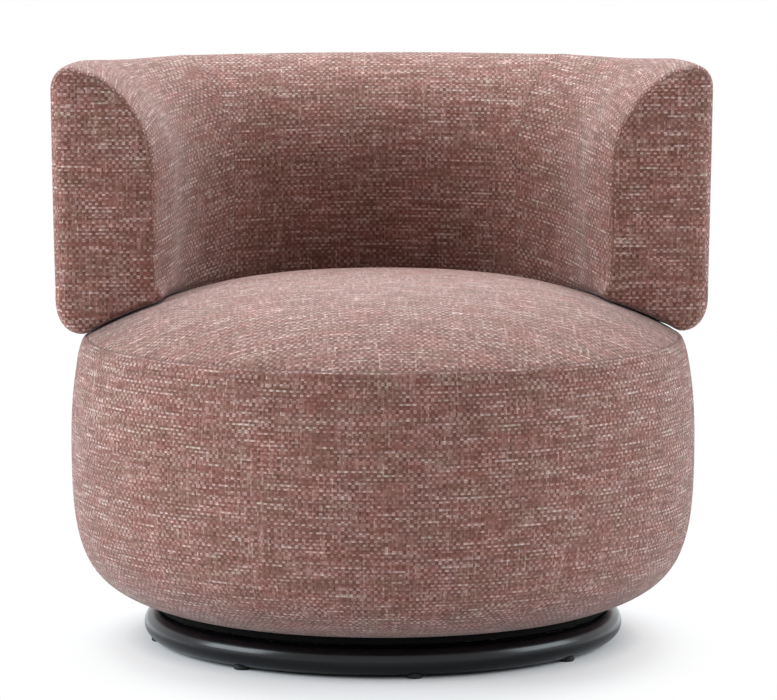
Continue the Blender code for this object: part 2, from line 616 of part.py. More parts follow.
def build_webbing():
    """Straps woven over and under each other, stapled to the seat ring."""
    wave = (STRAP_THICKNESS + GAP) / 2
    level = CUSHION_BOTTOM - GAP - STRAP_THICKNESS / 2 - wave
    landed = SEAT_RING_TOP + GAP + STRAP_THICKNESS / 2
    side = STRAP_WIDTH / 2
    space = (2 * SEAT_RING_OPENING - STRAPS_EACH_WAY * STRAP_WIDTH) / (STRAPS_EACH_WAY + 1)
    middle = (STRAPS_EACH_WAY - 1) / 2
    centres = [(STRAP_WIDTH + space) * (i - middle) for i in range(STRAPS_EACH_WAY)]
    reach = FRAME_RADIUS - STRAP_MARGIN
    for way in range(2):
        for i, offset in enumerate(centres):
            half = math.sqrt(reach ** 2 - (abs(offset) + side) ** 2)
            path = [(-half, landed), (STRAP_LANDING - half, landed)]
            for j, crossing in enumerate(centres):
                over = wave if (i + j + way) % 2 else -wave
                path += [(crossing - side, level + over), (crossing + side, level + over)]
            path += [(half - STRAP_LANDING, landed), (half, landed)]
            rings = []
            for along, height in path:
                corners = [(along, offset + y, height + z * STRAP_THICKNESS / 2)
                           for y, z in ((-side, -1), (side, -1), (side, 1), (-side, 1))]
                rings.append([(y, x, z) if way else (x, y, z) for x, y, z in corners])
            name = "webbing_%d" % (way * STRAPS_EACH_WAY + i + 1)
            place(lofted(name, rings), WEB, SEAT)


def dome_height(radius):
    """Height of the seat's top at a radius, up to the shoulder seam."""
    return SEAM_HEIGHT + SEAT_CROWN * (1 - (radius / SEAM_RADIUS) ** CROWN_POWER)


def dome_radii():
    """Radii of the dome's points. The back's underside has points over the outer ones."""
    inner = [BACK_INSIDE * share for share in (0, 0.42, 0.74)]
    rim = [BACK_INSIDE + (SEAM_RADIUS - BACK_INSIDE) * share for share in (0, 0.36, 0.70, 1)]
    return inner + rim


def drum_profile():
    """From the crown out to the seam, down past the widest line and in to the hem."""
    top = [(r, dome_height(r)) for r in dome_radii()]
    side = []
    for i in range(1, SIDE_STEPS):
        angle = math.pi / 2 * (1 - i / SIDE_STEPS)
        side.append((SEAM_RADIUS + SEAM_INSET * math.cos(angle),
                     WIDEST_HEIGHT + (SEAM_HEIGHT - WIDEST_HEIGHT) * math.sin(angle)))
    widest = Vector((DRUM_RADIUS, WIDEST_HEIGHT))
    hem = Vector((HEM_RADIUS, HEM_HEIGHT))
    side_handle = widest - Vector((0, SIDE_HANDLE))
    hem_handle = hem + UNDERSIDE_HANDLE * Vector((math.cos(UNDERSIDE_SLOPE), math.sin(UNDERSIDE_SLOPE)))
    for i in range(UNDERSIDE_STEPS + 1):
        t = i / UNDERSIDE_STEPS
        point = ((1 - t) ** 3 * widest + 3 * (1 - t) ** 2 * t * side_handle
                 + 3 * (1 - t) * t ** 2 * hem_handle + t ** 3 * hem)
        side.append(tuple(point))
    return top + side


def build_drum_upholstery():
    """The seat cushion, the mantle of foam round the drum, and the cover over both."""
    slots, heads = bracket_rooms()
    outer = drum_profile()
    foam = inset(outer, COVER_THICKNESS + COVER_GAP)
    foam[0] = (0, foam[0][1])
    seam = len(dome_radii()) - 1
    profile = foam[:seam + 1] + [(CUSHION_FLAT, CUSHION_BOTTOM), (0, CUSHION_BOTTOM)]
    cut(place(turned("seat_cushion", profile, UPHOLSTERY_STEPS), FOAM, SEAT), *slots)

    shelf = CUSHION_BOTTOM - GAP
    inside = MANTLE_INSIDE
    edge = (foam[seam][0], foam[seam][1] - GAP)
    (r1, z1), (r2, z2) = foam[-2:]
    foot = (inside, z1 + (z2 - z1) * (inside - r1) / (r2 - r1))
    profile = [(inside, shelf), (CUSHION_FLAT, shelf), edge] + foam[seam + 1:-1] + [foot]
    mantle = turned("drum_padding", profile, UPHOLSTERY_STEPS, closed=True)
    cut(place(mantle, FOAM, SEAT), *slots, heads)

    cover = place(turned("seat_cover", outer, UPHOLSTERY_STEPS), FABRIC, SEAT)
    thicken(cover)
    cut(cover, *slots)


def thicken(cover):
    """Give a cover its thickness, inwards."""
    shell = cover.modifiers.new("fabric", "SOLIDIFY")
    shell.thickness = COVER_THICKNESS
    shell.offset = -1
    shell.use_even_offset = True


def crest_rise(angle):
    """How much higher the crest is at an angle from the nearer arm end."""
    share = max(0.0, 1 - angle / ARM_PUFF_ANGLE)
    return ARM_PUFF * share * share * (3 - 2 * share)


def back_section(rise):
    """The back's outline in a radial plane, clockwise from the foot of the inner wall."""
    top = BACK_HEIGHT + rise
    crest_radius = BACK_OUTSIDE - BACK_TOP_RADIUS
    slope_foot = top - BACK_SLOPE_DROP
    slope = []
    for i in range(SLOPE_STEPS):
        angle = math.pi / 2 * i / SLOPE_STEPS
        across = (crest_radius - BACK_INSIDE) * math.cos(angle) ** (2 / BACK_SLOPE_POWER)
        up = BACK_SLOPE_DROP * math.sin(angle) ** (2 / BACK_SLOPE_POWER)
        slope.append((crest_radius - across, slope_foot + up))
    corner = arc((crest_radius, top - BACK_TOP_RADIUS), BACK_TOP_RADIUS, 90, 0, TOP_STEPS)
    foot_centre = (BACK_OUTSIDE - BACK_LEAN - BACK_FOOT_RADIUS, ARM_UNDERSIDE + BACK_FOOT_RADIUS)
    foot = arc(foot_centre, BACK_FOOT_RADIUS, 0, -90, FOOT_STEPS)
    rim = [(r, dome_height(r) + SEAT_CLEARANCE) for r in reversed(dome_radii()[4:])]
    toe = BACK_INSIDE + BACK_TOE_RADIUS
    toe_point = (toe, dome_height(toe) + SEAT_CLEARANCE)
    heel_point = (BACK_INSIDE, dome_height(BACK_INSIDE) + SEAT_CLEARANCE + BACK_TOE_RADIUS)
    return [heel_point] + slope + corner + foot + rim + [toe_point]


def back_rings(depth):
    """Sections round the back, from the right arm end to the left, all moved inwards by depth."""
    half = UPHOLSTERY_STEPS // 2
    right, left = [], []
    for i in range(EDGE_STEPS, 0, -1):
        angle = math.pi / 2 * i / EDGE_STEPS
        forward = (ARM_EDGE - depth) * math.sin(angle)
        shrink = ARM_EDGE - (ARM_EDGE - depth) * math.cos(angle)
        outline = inset(back_section(crest_rise(0)), shrink, closed=True)
        right.append([(r, -forward, z) for r, z in outline])
        left.insert(0, [(-r, -forward, z) for r, z in outline])
    middle = []
    for i in range(half + 1):
        angle = math.pi * i / half
        outline = inset(back_section(crest_rise(min(angle, math.pi - angle))), depth, closed=True)
        middle.append([(r * math.cos(angle), r * math.sin(angle), z) for r, z in outline])
    return right + middle + left


def frame_angles(margin=0):
    """Angles of the corners of the back's frame, from right to left, without margin ones at each end."""
    first = (math.pi - FRAME_STEPS * FACET) / 2
    return [first + FACET * i for i in range(margin, FRAME_STEPS + 1 - margin)]


def on_frame(radius, angle, height):
    """A point on the straight facets between the frame's corners."""
    off_middle = (angle - frame_angles()[0]) % FACET - FACET / 2
    flat = radius * math.cos(FACET / 2) / math.cos(off_middle)
    return (flat * math.cos(angle), flat * math.sin(angle), height)


def build_back_frame():
    """A bent tube hoop with a lower rail, and the panel behind it."""
    post = frame_angles()[0] + FACET / 2
    bend_angle = HOOP_BEND / HOOP_RADIUS
    path = [(post, LOWER_RAIL_HEIGHT - HOOP_TUBE / 2 - SLOT_MARGIN)]
    for i in range(HOOP_BEND_STEPS + 1):
        turn = math.pi / 2 * i / HOOP_BEND_STEPS
        height = HOOP_HEIGHT - HOOP_BEND * (1 - math.sin(turn))
        path.append((post + bend_angle * (1 - math.cos(turn)), height))
    corners = [a for a in frame_angles() if path[-1][0] + MERGE < a < math.pi - path[-1][0] - MERGE]
    path += [(a, HOOP_HEIGHT) for a in corners]
    path += [(math.pi - a, height) for a, height in reversed(path[:HOOP_BEND_STEPS + 2])]
    points = [on_frame(HOOP_RADIUS, a, height) for a, height in path]
    place(tube("back_hoop", points, HOOP_TUBE), POWDER_COAT, SEAT)

    rail_end = post + (HOOP_TUBE / 2 + GAP) / HOOP_RADIUS
    between = [a for a in frame_angles() if rail_end < a < math.pi - rail_end]
    angles = [rail_end] + between + [math.pi - rail_end]
    points = [on_frame(HOOP_RADIUS, a, LOWER_RAIL_HEIGHT) for a in angles]
    place(tube("back_lower_rail", points, HOOP_TUBE), POWDER_COAT, SEAT)

    low = LOWER_RAIL_HEIGHT - HOOP_TUBE / 2
    outside = PANEL_INSIDE + PANEL_THICKNESS
    outline = [(PANEL_INSIDE, low), (PANEL_INSIDE, FRAME_TOP), (outside, FRAME_TOP), (outside, low)]
    place(swept("back_panel", outline, frame_angles(1)), FIBREBOARD, SEAT)


def build_back_upholstery():
    """The hood of foam, with the slot that it hangs on the frame by, and its cover."""
    below = SEAM_HEIGHT - BACK_FOOT_RADIUS
    outline = [(SLOT_INSIDE, below), (SLOT_INSIDE, SLOT_TOP), (SLOT_OUTSIDE, SLOT_TOP), (SLOT_OUTSIDE, below)]
    slot = place_cutter(swept("frame_slot", outline, frame_angles()))
    cushion = place(lofted("back_cushion", back_rings(COVER_THICKNESS + COVER_GAP)), FOAM, SEAT)
    cut(cushion, slot)

    rings = back_rings(0)
    rim = len(rings[0]) - 4
    span = range(EDGE_STEPS + 1, len(rings) - EDGE_STEPS - 2)
    opening = [(k, j) for k in span for j in (rim, rim + 1)]
    thicken(place(lofted("back_cover", rings, opening), FABRIC, SEAT))


def main():
    build_base()
    seat_holes = build_bearing()
    build_seat_frame(seat_holes)
    build_drum_upholstery()
    build_back_frame()
    build_back_upholstery()


main()
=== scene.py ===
# %% [markdown]
# # A swivel armchair
# A low round seat turns on a hidden bearing over a black steel ring, and a thick back sweeps half way round
# it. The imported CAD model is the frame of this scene: its hard parts stay where they are and only get
# better finishes here, and its foam and fabric solids are stood for by finer upholstery made in this file.

# %% The frame
import json
import math

import bmesh
import bpy
import numpy as np
from mathutils import Matrix, Vector


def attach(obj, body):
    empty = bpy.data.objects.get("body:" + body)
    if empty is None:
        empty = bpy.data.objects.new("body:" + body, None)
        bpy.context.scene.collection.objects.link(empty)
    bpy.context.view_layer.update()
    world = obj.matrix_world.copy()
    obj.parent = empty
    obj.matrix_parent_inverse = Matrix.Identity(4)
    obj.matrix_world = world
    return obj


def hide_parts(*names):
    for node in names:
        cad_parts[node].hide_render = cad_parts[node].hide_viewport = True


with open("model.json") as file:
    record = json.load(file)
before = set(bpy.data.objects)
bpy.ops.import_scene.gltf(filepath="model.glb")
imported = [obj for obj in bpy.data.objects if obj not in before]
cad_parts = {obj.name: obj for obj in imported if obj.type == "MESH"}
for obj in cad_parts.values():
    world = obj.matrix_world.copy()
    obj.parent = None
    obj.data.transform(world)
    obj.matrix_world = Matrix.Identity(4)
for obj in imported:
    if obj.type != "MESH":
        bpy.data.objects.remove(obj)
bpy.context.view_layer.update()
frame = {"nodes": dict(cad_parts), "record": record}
nodes = frame["nodes"]

# %% [markdown]
# ## The camera
# A product photograph of a chair is taken from far away with a long lens, so that the near arm isn't much
# larger than the far one. A camera can be placed by eye, or worked out from known sizes. Here it was worked
# out: the seat's seam and the base ring are circles, and how flat they look gives the camera's height and
# distance.

# %% Camera
CAMERA_LENS = 216.8            # mm, on a 36 mm wide sensor
CAMERA_PLACE = (0.0066, -5.517, 1.029)
CAMERA_TILT = 7.08             # degrees below level
CHAIR_TURN = -2.7              # degrees that the camera stands round to one side

camera_data = bpy.data.cameras.new("studio_camera")
camera_data.sensor_width = 36.0
camera_data.lens = CAMERA_LENS
camera_data.clip_end = 100.0
camera = bpy.data.objects.new("studio_camera", camera_data)
camera.matrix_world = (Matrix.Rotation(math.radians(CHAIR_TURN), 4, "Z")
                       @ Matrix.Translation(CAMERA_PLACE)
                       @ Matrix.Rotation(math.radians(90 - CAMERA_TILT), 4, "X"))
bpy.context.scene.collection.objects.link(camera)
bpy.context.scene.camera = camera
bpy.context.scene.view_settings.view_transform = "Standard"
print("camera", round(CAMERA_LENS, 1), "mm lens,", round(-CAMERA_PLACE[1], 2), "m away")

# %% [markdown]
# ## Colours and nodes
# Colours are written as in a picture editor, in sRGB, and Blender's nodes want them linear. One function
# turns them, and one more adds a node with its settings and what feeds it, so that a material reads as a
# short list.


# %% Colour and node helpers
def srgb(code):
    """Linear red, green, blue and alpha of a colour such as #936d65."""
    parts = [int(code[i:i + 2], 16) / 255 for i in (1, 3, 5)]
    return [p / 12.92 if p <= 0.04045 else ((p + 0.055) / 1.055) ** 2.4 for p in parts] + [1.0]


def add_node(tree, kind, inputs=None, **settings):
    """Adds a node. inputs maps a socket to a value, a socket or a node, whose first live output is taken."""
    node = tree.nodes.new(kind)
    for name, value in settings.items():
        setattr(node, name, value)
    for socket, value in (inputs or {}).items():
        if isinstance(value, bpy.types.Node):
            value = next(s for s in value.outputs if s.enabled)
        if isinstance(value, bpy.types.NodeSocket):
            tree.links.new(value, node.inputs[socket])
        else:
            node.inputs[socket].default_value = value
    return node


# %% Ramps and materials
def set_stops(ramp, *stops):
    """Sets a colour ramp's stops from pairs of place and colour code."""
    elements = ramp.color_ramp.elements
    while len(elements) < len(stops):
        elements.new(1.0)
    for element, (place, code) in zip(elements, stops):
        element.position = place
        element.color = srgb(code)
    return ramp


def new_material(name):
    """An empty material and its node tree."""
    material = bpy.data.materials.new(name)
    material.use_nodes = True
    material.node_tree.nodes.clear()
    return material, material.node_tree


def finish_material(tree, shader):
    """Puts the shader on the material's output."""
    add_node(tree, "ShaderNodeOutputMaterial", {"Surface": shader})


print("#ffffff in linear light:", srgb("#ffffff")[:3])

# %% [markdown]
# ## Floor, background and light
# The chair stands on a pale floor that runs into a white background. The light is what a studio has: one
# large lamp with a soft box overhead and one at each side. The floor shows the chair's shadow close to it,
# lightened there by a share of painted white that only the camera sees, and beyond that it is simply white to
# the camera, as a cleared background is. All the light on the chair comes from the lamps, the sky and the
# floor's own paint.

# %% Floor
FLOOR_HALF = 12.0
SHADOW_REACH = (0.32, 0.58)     # metres from the chair's axis, where the floor turns from lit to plain white
PAINTED_LIFT_SHAPE = (1.4, 1.0, 1.0)  # painted white lifts the shadow sooner across than in depth
LEAST_WHITE = 0.32              # share of painted white that lightens the shadow where it is deepest
UNDER_CHAIR = (0.26, 0.31)      # nearer in, the floor is only paint, so the gap over the ring stays dark

floor_mesh = bpy.data.meshes.new("studio_floor")
floor_mesh.from_pydata([(-FLOOR_HALF, -FLOOR_HALF, 0), (FLOOR_HALF, -FLOOR_HALF, 0),
                        (FLOOR_HALF, FLOOR_HALF, 0), (-FLOOR_HALF, FLOOR_HALF, 0)], [], [(0, 1, 2, 3)])
floor = bpy.data.objects.new("studio_floor", floor_mesh)
bpy.context.scene.collection.objects.link(floor)

floor_paint, tree = new_material("matt_white_studio_floor")
place = add_node(tree, "ShaderNodeTexCoord").outputs["Object"]
narrowed = add_node(tree, "ShaderNodeVectorMath", {0: place, 1: PAINTED_LIFT_SHAPE}, operation="MULTIPLY")
distance = add_node(tree, "ShaderNodeVectorMath", {0: narrowed}, operation="LENGTH")
# Painted light: a share of plain white that only the camera sees lightens the floor's cast shadow, more with
# distance from the chair.
painted_shadow_lift = add_node(tree, "ShaderNodeMapRange", {0: distance, 1: SHADOW_REACH[0], 2: SHADOW_REACH[1],
                                             3: LEAST_WHITE, 4: 1.0}, interpolation_type="SMOOTHSTEP")
from_axis = add_node(tree, "ShaderNodeVectorMath", {0: place}, operation="LENGTH")
clear = add_node(tree, "ShaderNodeMapRange", {0: from_axis, 1: UNDER_CHAIR[0], 2: UNDER_CHAIR[1]})
painted_shadow_lift = add_node(tree, "ShaderNodeMath", {0: painted_shadow_lift, 1: clear}, operation="MULTIPLY")
eye = add_node(tree, "ShaderNodeLightPath").outputs["Is Camera Ray"]
white_share = add_node(tree, "ShaderNodeMath", {0: painted_shadow_lift, 1: eye}, operation="MULTIPLY")
paint = add_node(tree, "ShaderNodeBsdfDiffuse", {"Color": srgb("#f2f2f4")})
white = add_node(tree, "ShaderNodeEmission", {"Color": (1, 1, 1, 1), "Strength": 1.0})
finish_material(tree, add_node(tree, "ShaderNodeMixShader", {0: white_share, 1: paint, 2: white}))
floor_mesh.materials.append(floor_paint)
print(floor.name, "is", 2 * FLOOR_HALF, "m wide")

# %% Sky
SKY_LIGHT = 0.33                # how much of a plain level of light comes from all round

world = bpy.data.worlds.new("studio")
world.use_nodes = True
world.node_tree.nodes.clear()
tree = world.node_tree
path = add_node(tree, "ShaderNodeLightPath").outputs
seen = add_node(tree, "ShaderNodeMath", {0: path["Is Camera Ray"], 1: path["Is Glossy Ray"]},
                operation="MAXIMUM")
seen = add_node(tree, "ShaderNodeMath", {0: seen, 1: path["Is Transmission Ray"]}, operation="MAXIMUM")
level = add_node(tree, "ShaderNodeMapRange", {0: seen, 3: SKY_LIGHT, 4: 1.0})
sky = add_node(tree, "ShaderNodeBackground", {"Color": (1, 1, 1, 1), "Strength": level})
add_node(tree, "ShaderNodeOutputWorld", {"Surface": sky})
bpy.context.scene.world = world
print("sky at", SKY_LIGHT, "of a plain level")

# %% Lamps
LAMPS = {  # name: (place, size, share of a plain level of light at the chair)
    "soft_box_left": ((-2.5, -0.55, 1.25), (1.6, 1.6), 0.96),
    "soft_box_right": ((2.5, -0.45, 1.25), (1.6, 1.6), 0.67),
    "soft_box_top": ((0.0, 1.0, 2.5), (2.4, 1.6), 1.90),
}
LAMP_AIM = Vector((0, 0, 0.35))
LAMP_COLOUR = "#e9f5fb"         # daylight tubes, a little cooler than the white walls round them

for name, (spot, size, share) in LAMPS.items():
    lamp = bpy.data.lights.new(name, "AREA")
    lamp.shape = "RECTANGLE"
    lamp.size, lamp.size_y = size
    lamp.color = srgb(LAMP_COLOUR)[:3]
    towards = LAMP_AIM - Vector(spot)
    lamp.energy = share * math.pi ** 2 * towards.length_squared
    holder = bpy.data.objects.new(name, lamp)
    holder.location = spot
    holder.rotation_mode = "QUATERNION"
    holder.rotation_quaternion = towards.to_track_quat("-Z", "Y")
    holder.visible_camera = False
    bpy.context.scene.collection.objects.link(holder)
    print(name, round(lamp.energy), "W")

# %% [markdown]
# ## The cover fabric
# The chair is covered in a basket weave: pairs of warp yarns cross pairs of weft yarns, over two and under
# two, so small squares of crosswise and upright yarn alternate like a chessboard. The yarns are a heather
# of terracotta, rosewood and brown-grey, and one weft of each pair is spun with pale ecru slubs, which show
# as rows of light dashes. Real thread geometry all over a chair would be millions of faces, and a picture
# would not be a weave at every scale, so the cloth is drawn from its own rule: whole-number cells of a flat
# map in metres, one for each panel, tell which yarn is on top.

# %% Fabric values
WARP_PAIR = 0.00405             # width of a pair of warp yarns, so of a square of the weave
WEFT_PAIR = 0.0044              # height of a pair of weft yarns
YARN_RELIEF = 0.0007            # how far a yarn stands above where it dives under
WANDER = 0.0011                 # the yarns aren't quite straight
WANDER_LENGTH = 0.035
SLUB_LENGTH = 0.045             # of the pale thick places in the weft
HEATHER_LENGTH = 0.030
CLOUD_SIZE = (0.060, 0.018)     # patches where redder or greyer yarn gathers
FIBRE = 0.0005                  # real fibres are far finer, and are drawn this coarse so that they show
NEXT_WEFT, NEXT_WARP = 7.31, 5.17  # steps through a noise from one yarn to the next, so that no two are alike
PLAIN_WEFT = -0.10              # the second weft of a pair has fewer slubs
ROUND_ACROSS, ROUND_ALONG = 0.6, 0.5  # powers that make a yarn's top fuller than half a wave
TWISTS, TWIST_RELIEF = 5.0, 0.08  # turns of the ply over a square, and their share of the relief

# %% Fabric material
# Woven cloth of spun viscose, linen and polyester yarns: matt, with a short fuzz that lightens its edges.
cloth, tree = new_material("terracotta_basket_weave")
panel = add_node(tree, "ShaderNodeUVMap", uv_map="weave")
drift = add_node(tree, "ShaderNodeTexNoise", {"Vector": panel, "Scale": 1 / WANDER_LENGTH, "Detail": 1.0},
                 noise_dimensions="2D").outputs["Color"]
drift = add_node(tree, "ShaderNodeVectorMath", {0: drift, 1: (0.5, 0.5, 0.5)}, operation="SUBTRACT")
lay = add_node(tree, "ShaderNodeVectorMath", {0: drift, 1: (WANDER, WANDER, 0), 2: panel},
               operation="MULTIPLY_ADD")

square = add_node(tree, "ShaderNodeVectorMath", {0: lay, 1: (WARP_PAIR, WEFT_PAIR, 1)}, operation="DIVIDE")
number = add_node(tree, "ShaderNodeVectorMath", {0: square}, operation="FLOOR")
inside = add_node(tree, "ShaderNodeVectorMath", {0: square}, operation="FRACTION")
yarn = add_node(tree, "ShaderNodeVectorMath", {0: square, 1: (2, 2, 1)}, operation="MULTIPLY")
yarn_number = add_node(tree, "ShaderNodeVectorMath", {0: yarn}, operation="FLOOR")
yarn_inside = add_node(tree, "ShaderNodeVectorMath", {0: yarn}, operation="FRACTION")

total = add_node(tree, "ShaderNodeVectorMath", {0: number, 1: (1, 1, 0)}, operation="DOT_PRODUCT")
warp_on_top = add_node(tree, "ShaderNodeMath", {0: total, 1: 2.0}, operation="FLOORED_MODULO")

inside_xy = add_node(tree, "ShaderNodeSeparateXYZ", {0: inside})
yarn_xy = add_node(tree, "ShaderNodeSeparateXYZ", {0: yarn_inside})
number_xy = add_node(tree, "ShaderNodeSeparateXYZ", {0: yarn_number})
lay_xy = add_node(tree, "ShaderNodeSeparateXYZ", {0: lay})
along = add_node(tree, "ShaderNodeMix", {0: warp_on_top, 2: inside_xy.outputs[0], 3: inside_xy.outputs[1]})
across = add_node(tree, "ShaderNodeMix", {0: warp_on_top, 2: yarn_xy.outputs[1], 3: yarn_xy.outputs[0]})

# A yarn's top is round across, and along it dips under at both ends of a square.
half_turn = add_node(tree, "ShaderNodeMath", {0: across, 1: math.pi}, operation="MULTIPLY")
round_top = add_node(tree, "ShaderNodeMath", {0: half_turn}, operation="SINE")
round_top = add_node(tree, "ShaderNodeMath", {0: round_top, 1: ROUND_ACROSS}, operation="POWER")
half_turn = add_node(tree, "ShaderNodeMath", {0: along, 1: math.pi}, operation="MULTIPLY")
dip = add_node(tree, "ShaderNodeMath", {0: half_turn}, operation="SINE")
dip = add_node(tree, "ShaderNodeMath", {0: dip, 1: ROUND_ALONG}, operation="POWER")
relief = add_node(tree, "ShaderNodeMath", {0: round_top, 1: dip}, operation="MULTIPLY")

# The weft's colour runs along it and changes from one yarn to the next.
slub_along = add_node(tree, "ShaderNodeMath", {0: lay_xy.outputs[0], 1: 1 / SLUB_LENGTH},
                      operation="MULTIPLY")
slub_yarn = add_node(tree, "ShaderNodeMath", {0: number_xy.outputs[1], 1: NEXT_WEFT}, operation="MULTIPLY")
slub_place = add_node(tree, "ShaderNodeCombineXYZ", {0: slub_along, 1: slub_yarn})
slub = add_node(tree, "ShaderNodeTexNoise",
                {"Vector": slub_place, "Scale": 1.0, "Detail": 3.0, "Roughness": 0.65}, noise_dimensions="2D")
second_weft = add_node(tree, "ShaderNodeMath", {0: number_xy.outputs[1], 1: 2.0}, operation="FLOORED_MODULO")
paleness = add_node(tree, "ShaderNodeMath", {0: second_weft, 1: PLAIN_WEFT, 2: slub},
                    operation="MULTIPLY_ADD")
weft_colour = set_stops(add_node(tree, "ShaderNodeValToRGB", {0: paleness}),
                        (0.26, "#7d5248"), (0.42, "#9a6d63"), (0.54, "#b7918a"), (0.70, "#d8bcb4"))

# The warp has a heather of its own, in short lengths up and down.
heather_along = add_node(tree, "ShaderNodeMath", {0: lay_xy.outputs[1], 1: 1 / HEATHER_LENGTH},
                         operation="MULTIPLY")
heather_yarn = add_node(tree, "ShaderNodeMath", {0: number_xy.outputs[0], 1: NEXT_WARP}, operation="MULTIPLY")
heather_place = add_node(tree, "ShaderNodeCombineXYZ", {0: heather_yarn, 1: heather_along})
heather = add_node(tree, "ShaderNodeTexNoise", {"Vector": heather_place, "Scale": 1.0, "Detail": 2.0},
                   noise_dimensions="2D")
warp_colour = set_stops(add_node(tree, "ShaderNodeValToRGB", {0: heather}),
                        (0.30, "#72463d"), (0.50, "#8a5b52"), (0.66, "#a47a70"), (0.80, "#c9a99f"))

# A thick slub presses the warp apart and shows as one pale line over several squares.
slub_hides = add_node(tree, "ShaderNodeMapRange", {0: paleness, 1: 0.58, 2: 0.72, 3: 1.0, 4: 0.5})
warp_share = add_node(tree, "ShaderNodeMath", {0: warp_on_top, 1: slub_hides}, operation="MULTIPLY")
yarn_colour = add_node(tree, "ShaderNodeMix", {0: warp_share, 6: weft_colour, 7: warp_colour},
                       data_type="RGBA")

# Clouds of redder and of greyer yarn, a few squares high and many long.
cloud_place = add_node(tree, "ShaderNodeVectorMath", {0: lay, 1: (*CLOUD_SIZE, 1)}, operation="DIVIDE")
cloud = add_node(tree, "ShaderNodeTexNoise", {"Vector": cloud_place, "Scale": 1.0, "Detail": 2.0},
                 noise_dimensions="2D")
cloud_tint = set_stops(add_node(tree, "ShaderNodeValToRGB", {0: cloud}),
                       (0.36, "#fdf4f1"), (0.50, "#f8f8f8"), (0.64, "#f2f7ef"))
tinted = add_node(tree, "ShaderNodeMix", {0: 1.0, 6: yarn_colour, 7: cloud_tint}, data_type="RGBA",
                  blend_type="MULTIPLY")

# Loose fibres break up every yarn, and painted shade darkens the places where yarns dive under.
fibre = add_node(tree, "ShaderNodeTexNoise", {"Vector": lay, "Scale": 1 / FIBRE, "Detail": 1.0},
                 noise_dimensions="2D")
fibre_light = add_node(tree, "ShaderNodeMapRange", {0: fibre, 1: 0.3, 2: 0.7, 3: 0.80, 4: 1.18})
chance = add_node(tree, "ShaderNodeTexWhiteNoise", {"Vector": number}, noise_dimensions="2D")
square_light = add_node(tree, "ShaderNodeMapRange", {0: chance, 3: 0.87, 4: 1.12})
painted_dip_shade = add_node(tree, "ShaderNodeMapRange", {0: relief, 3: 0.71, 4: 1.02})
# Painted shade: the cloth is darkened at the bottom of each seam fold.
fold = add_node(tree, "ShaderNodeAttribute", attribute_name="seam_fold").outputs["Fac"]
painted_fold_shade = add_node(tree, "ShaderNodeMapRange", {0: fold, 3: 1.0, 4: 0.70})
shade = add_node(tree, "ShaderNodeMath", {0: fibre_light, 1: painted_dip_shade}, operation="MULTIPLY")
shade = add_node(tree, "ShaderNodeMath", {0: shade, 1: square_light}, operation="MULTIPLY")
shade = add_node(tree, "ShaderNodeMath", {0: shade, 1: painted_fold_shade}, operation="MULTIPLY")
colour = add_node(tree, "ShaderNodeVectorMath", {0: tinted, 3: shade}, operation="SCALE")

# The twist of the yarns runs askew over them, and a bump of the real relief catches the light.
twist = add_node(tree, "ShaderNodeMath", {0: along, 1: TWISTS, 2: across}, operation="MULTIPLY_ADD")
twist = add_node(tree, "ShaderNodeMath", {0: twist, 1: 2 * math.pi}, operation="MULTIPLY")
twist = add_node(tree, "ShaderNodeMath", {0: twist}, operation="SINE")
height = add_node(tree, "ShaderNodeMath", {0: twist, 1: TWIST_RELIEF, 2: relief}, operation="MULTIPLY_ADD")
bump = add_node(tree, "ShaderNodeBump", {"Strength": 0.45, "Distance": YARN_RELIEF, "Height": height})
finish_material(tree, add_node(tree, "ShaderNodeBsdfPrincipled", {
    "Base Color": colour, "Roughness": 0.95, "Specular IOR Level": 0.1, "Normal": bump,
    "Sheen Weight": 0.25, "Sheen Roughness": 0.5, "Sheen Tint": srgb("#f4f8f6")}))
print("fabric squares", WARP_PAIR * 1000, "x", WEFT_PAIR * 1000, "mm")

# %% [markdown]
# ## Upholstery meshes
# Foam under tight cloth takes simple curves: the seat is a shallow dome on a drum, and the back is one
# outline swept half way round. Both follow the same rules as the CAD model, only with many more points, so
# that the finer pieces lie exactly where its foam and fabric solids are. They could be sculpted by hand,
# but a rule keeps them round, level and true to size. Points are close together beside the seams, where the
# cloth is pulled in.


# %% Lines and meshes from points
def spaced(points, marks):
    """Points at the given distances along a line of points."""
    points = np.array(points, float)
    steps = np.linalg.norm(np.diff(points, axis=0), axis=1)
    at = np.concatenate([[0.0], np.cumsum(steps)])
    return np.column_stack([np.interp(marks, at, points[:, k]) for k in range(points.shape[1])])


def length_of(points):
    """Length of a line of points."""
    return float(np.linalg.norm(np.diff(np.array(points, float), axis=0), axis=1).sum())


# %% Rows beside a seam
BESIDE_SEAM = [0.0, 0.003, 0.007, 0.013]  # distances of the first rows of points from a seam


def graded(length, fine_ends, step):
    """Distances from 0 to length that start, and also end where asked, with small steps beside a seam."""
    far = [length - d for d in reversed(BESIDE_SEAM)] if fine_ends == 2 else [length]
    near = BESIDE_SEAM[-1]
    count = max(1, round((far[0] - near) / step))
    return BESIDE_SEAM + [near + (far[0] - near) * i / count for i in range(1, count)] + far


print("rows over 100 mm:", len(graded(0.1, 2, 0.01)))


# %% Meshes with a flat map
def make_piece(name, points, faces, uvs, material, seam_distance):
    """A smooth mesh object with a flat map in metres and each point's distance from the nearest seam."""
    mesh = bpy.data.meshes.new(name)
    mesh.from_pydata([tuple(p) for p in points], [], faces)
    layer = mesh.uv_layers.new(name="weave")
    layer.data.foreach_set("uv", np.array([uv for face in uvs for uv in face], np.float32).ravel())
    layer = mesh.attributes.new("seam_fold", "FLOAT", "POINT")
    layer.data.foreach_set("value", np.array(seam_distance, np.float32))
    mesh.polygons.foreach_set("use_smooth", [True] * len(mesh.polygons))
    mesh.materials.append(material)
    piece = bpy.data.objects.new(name, mesh)
    bpy.context.scene.collection.objects.link(piece)
    return piece


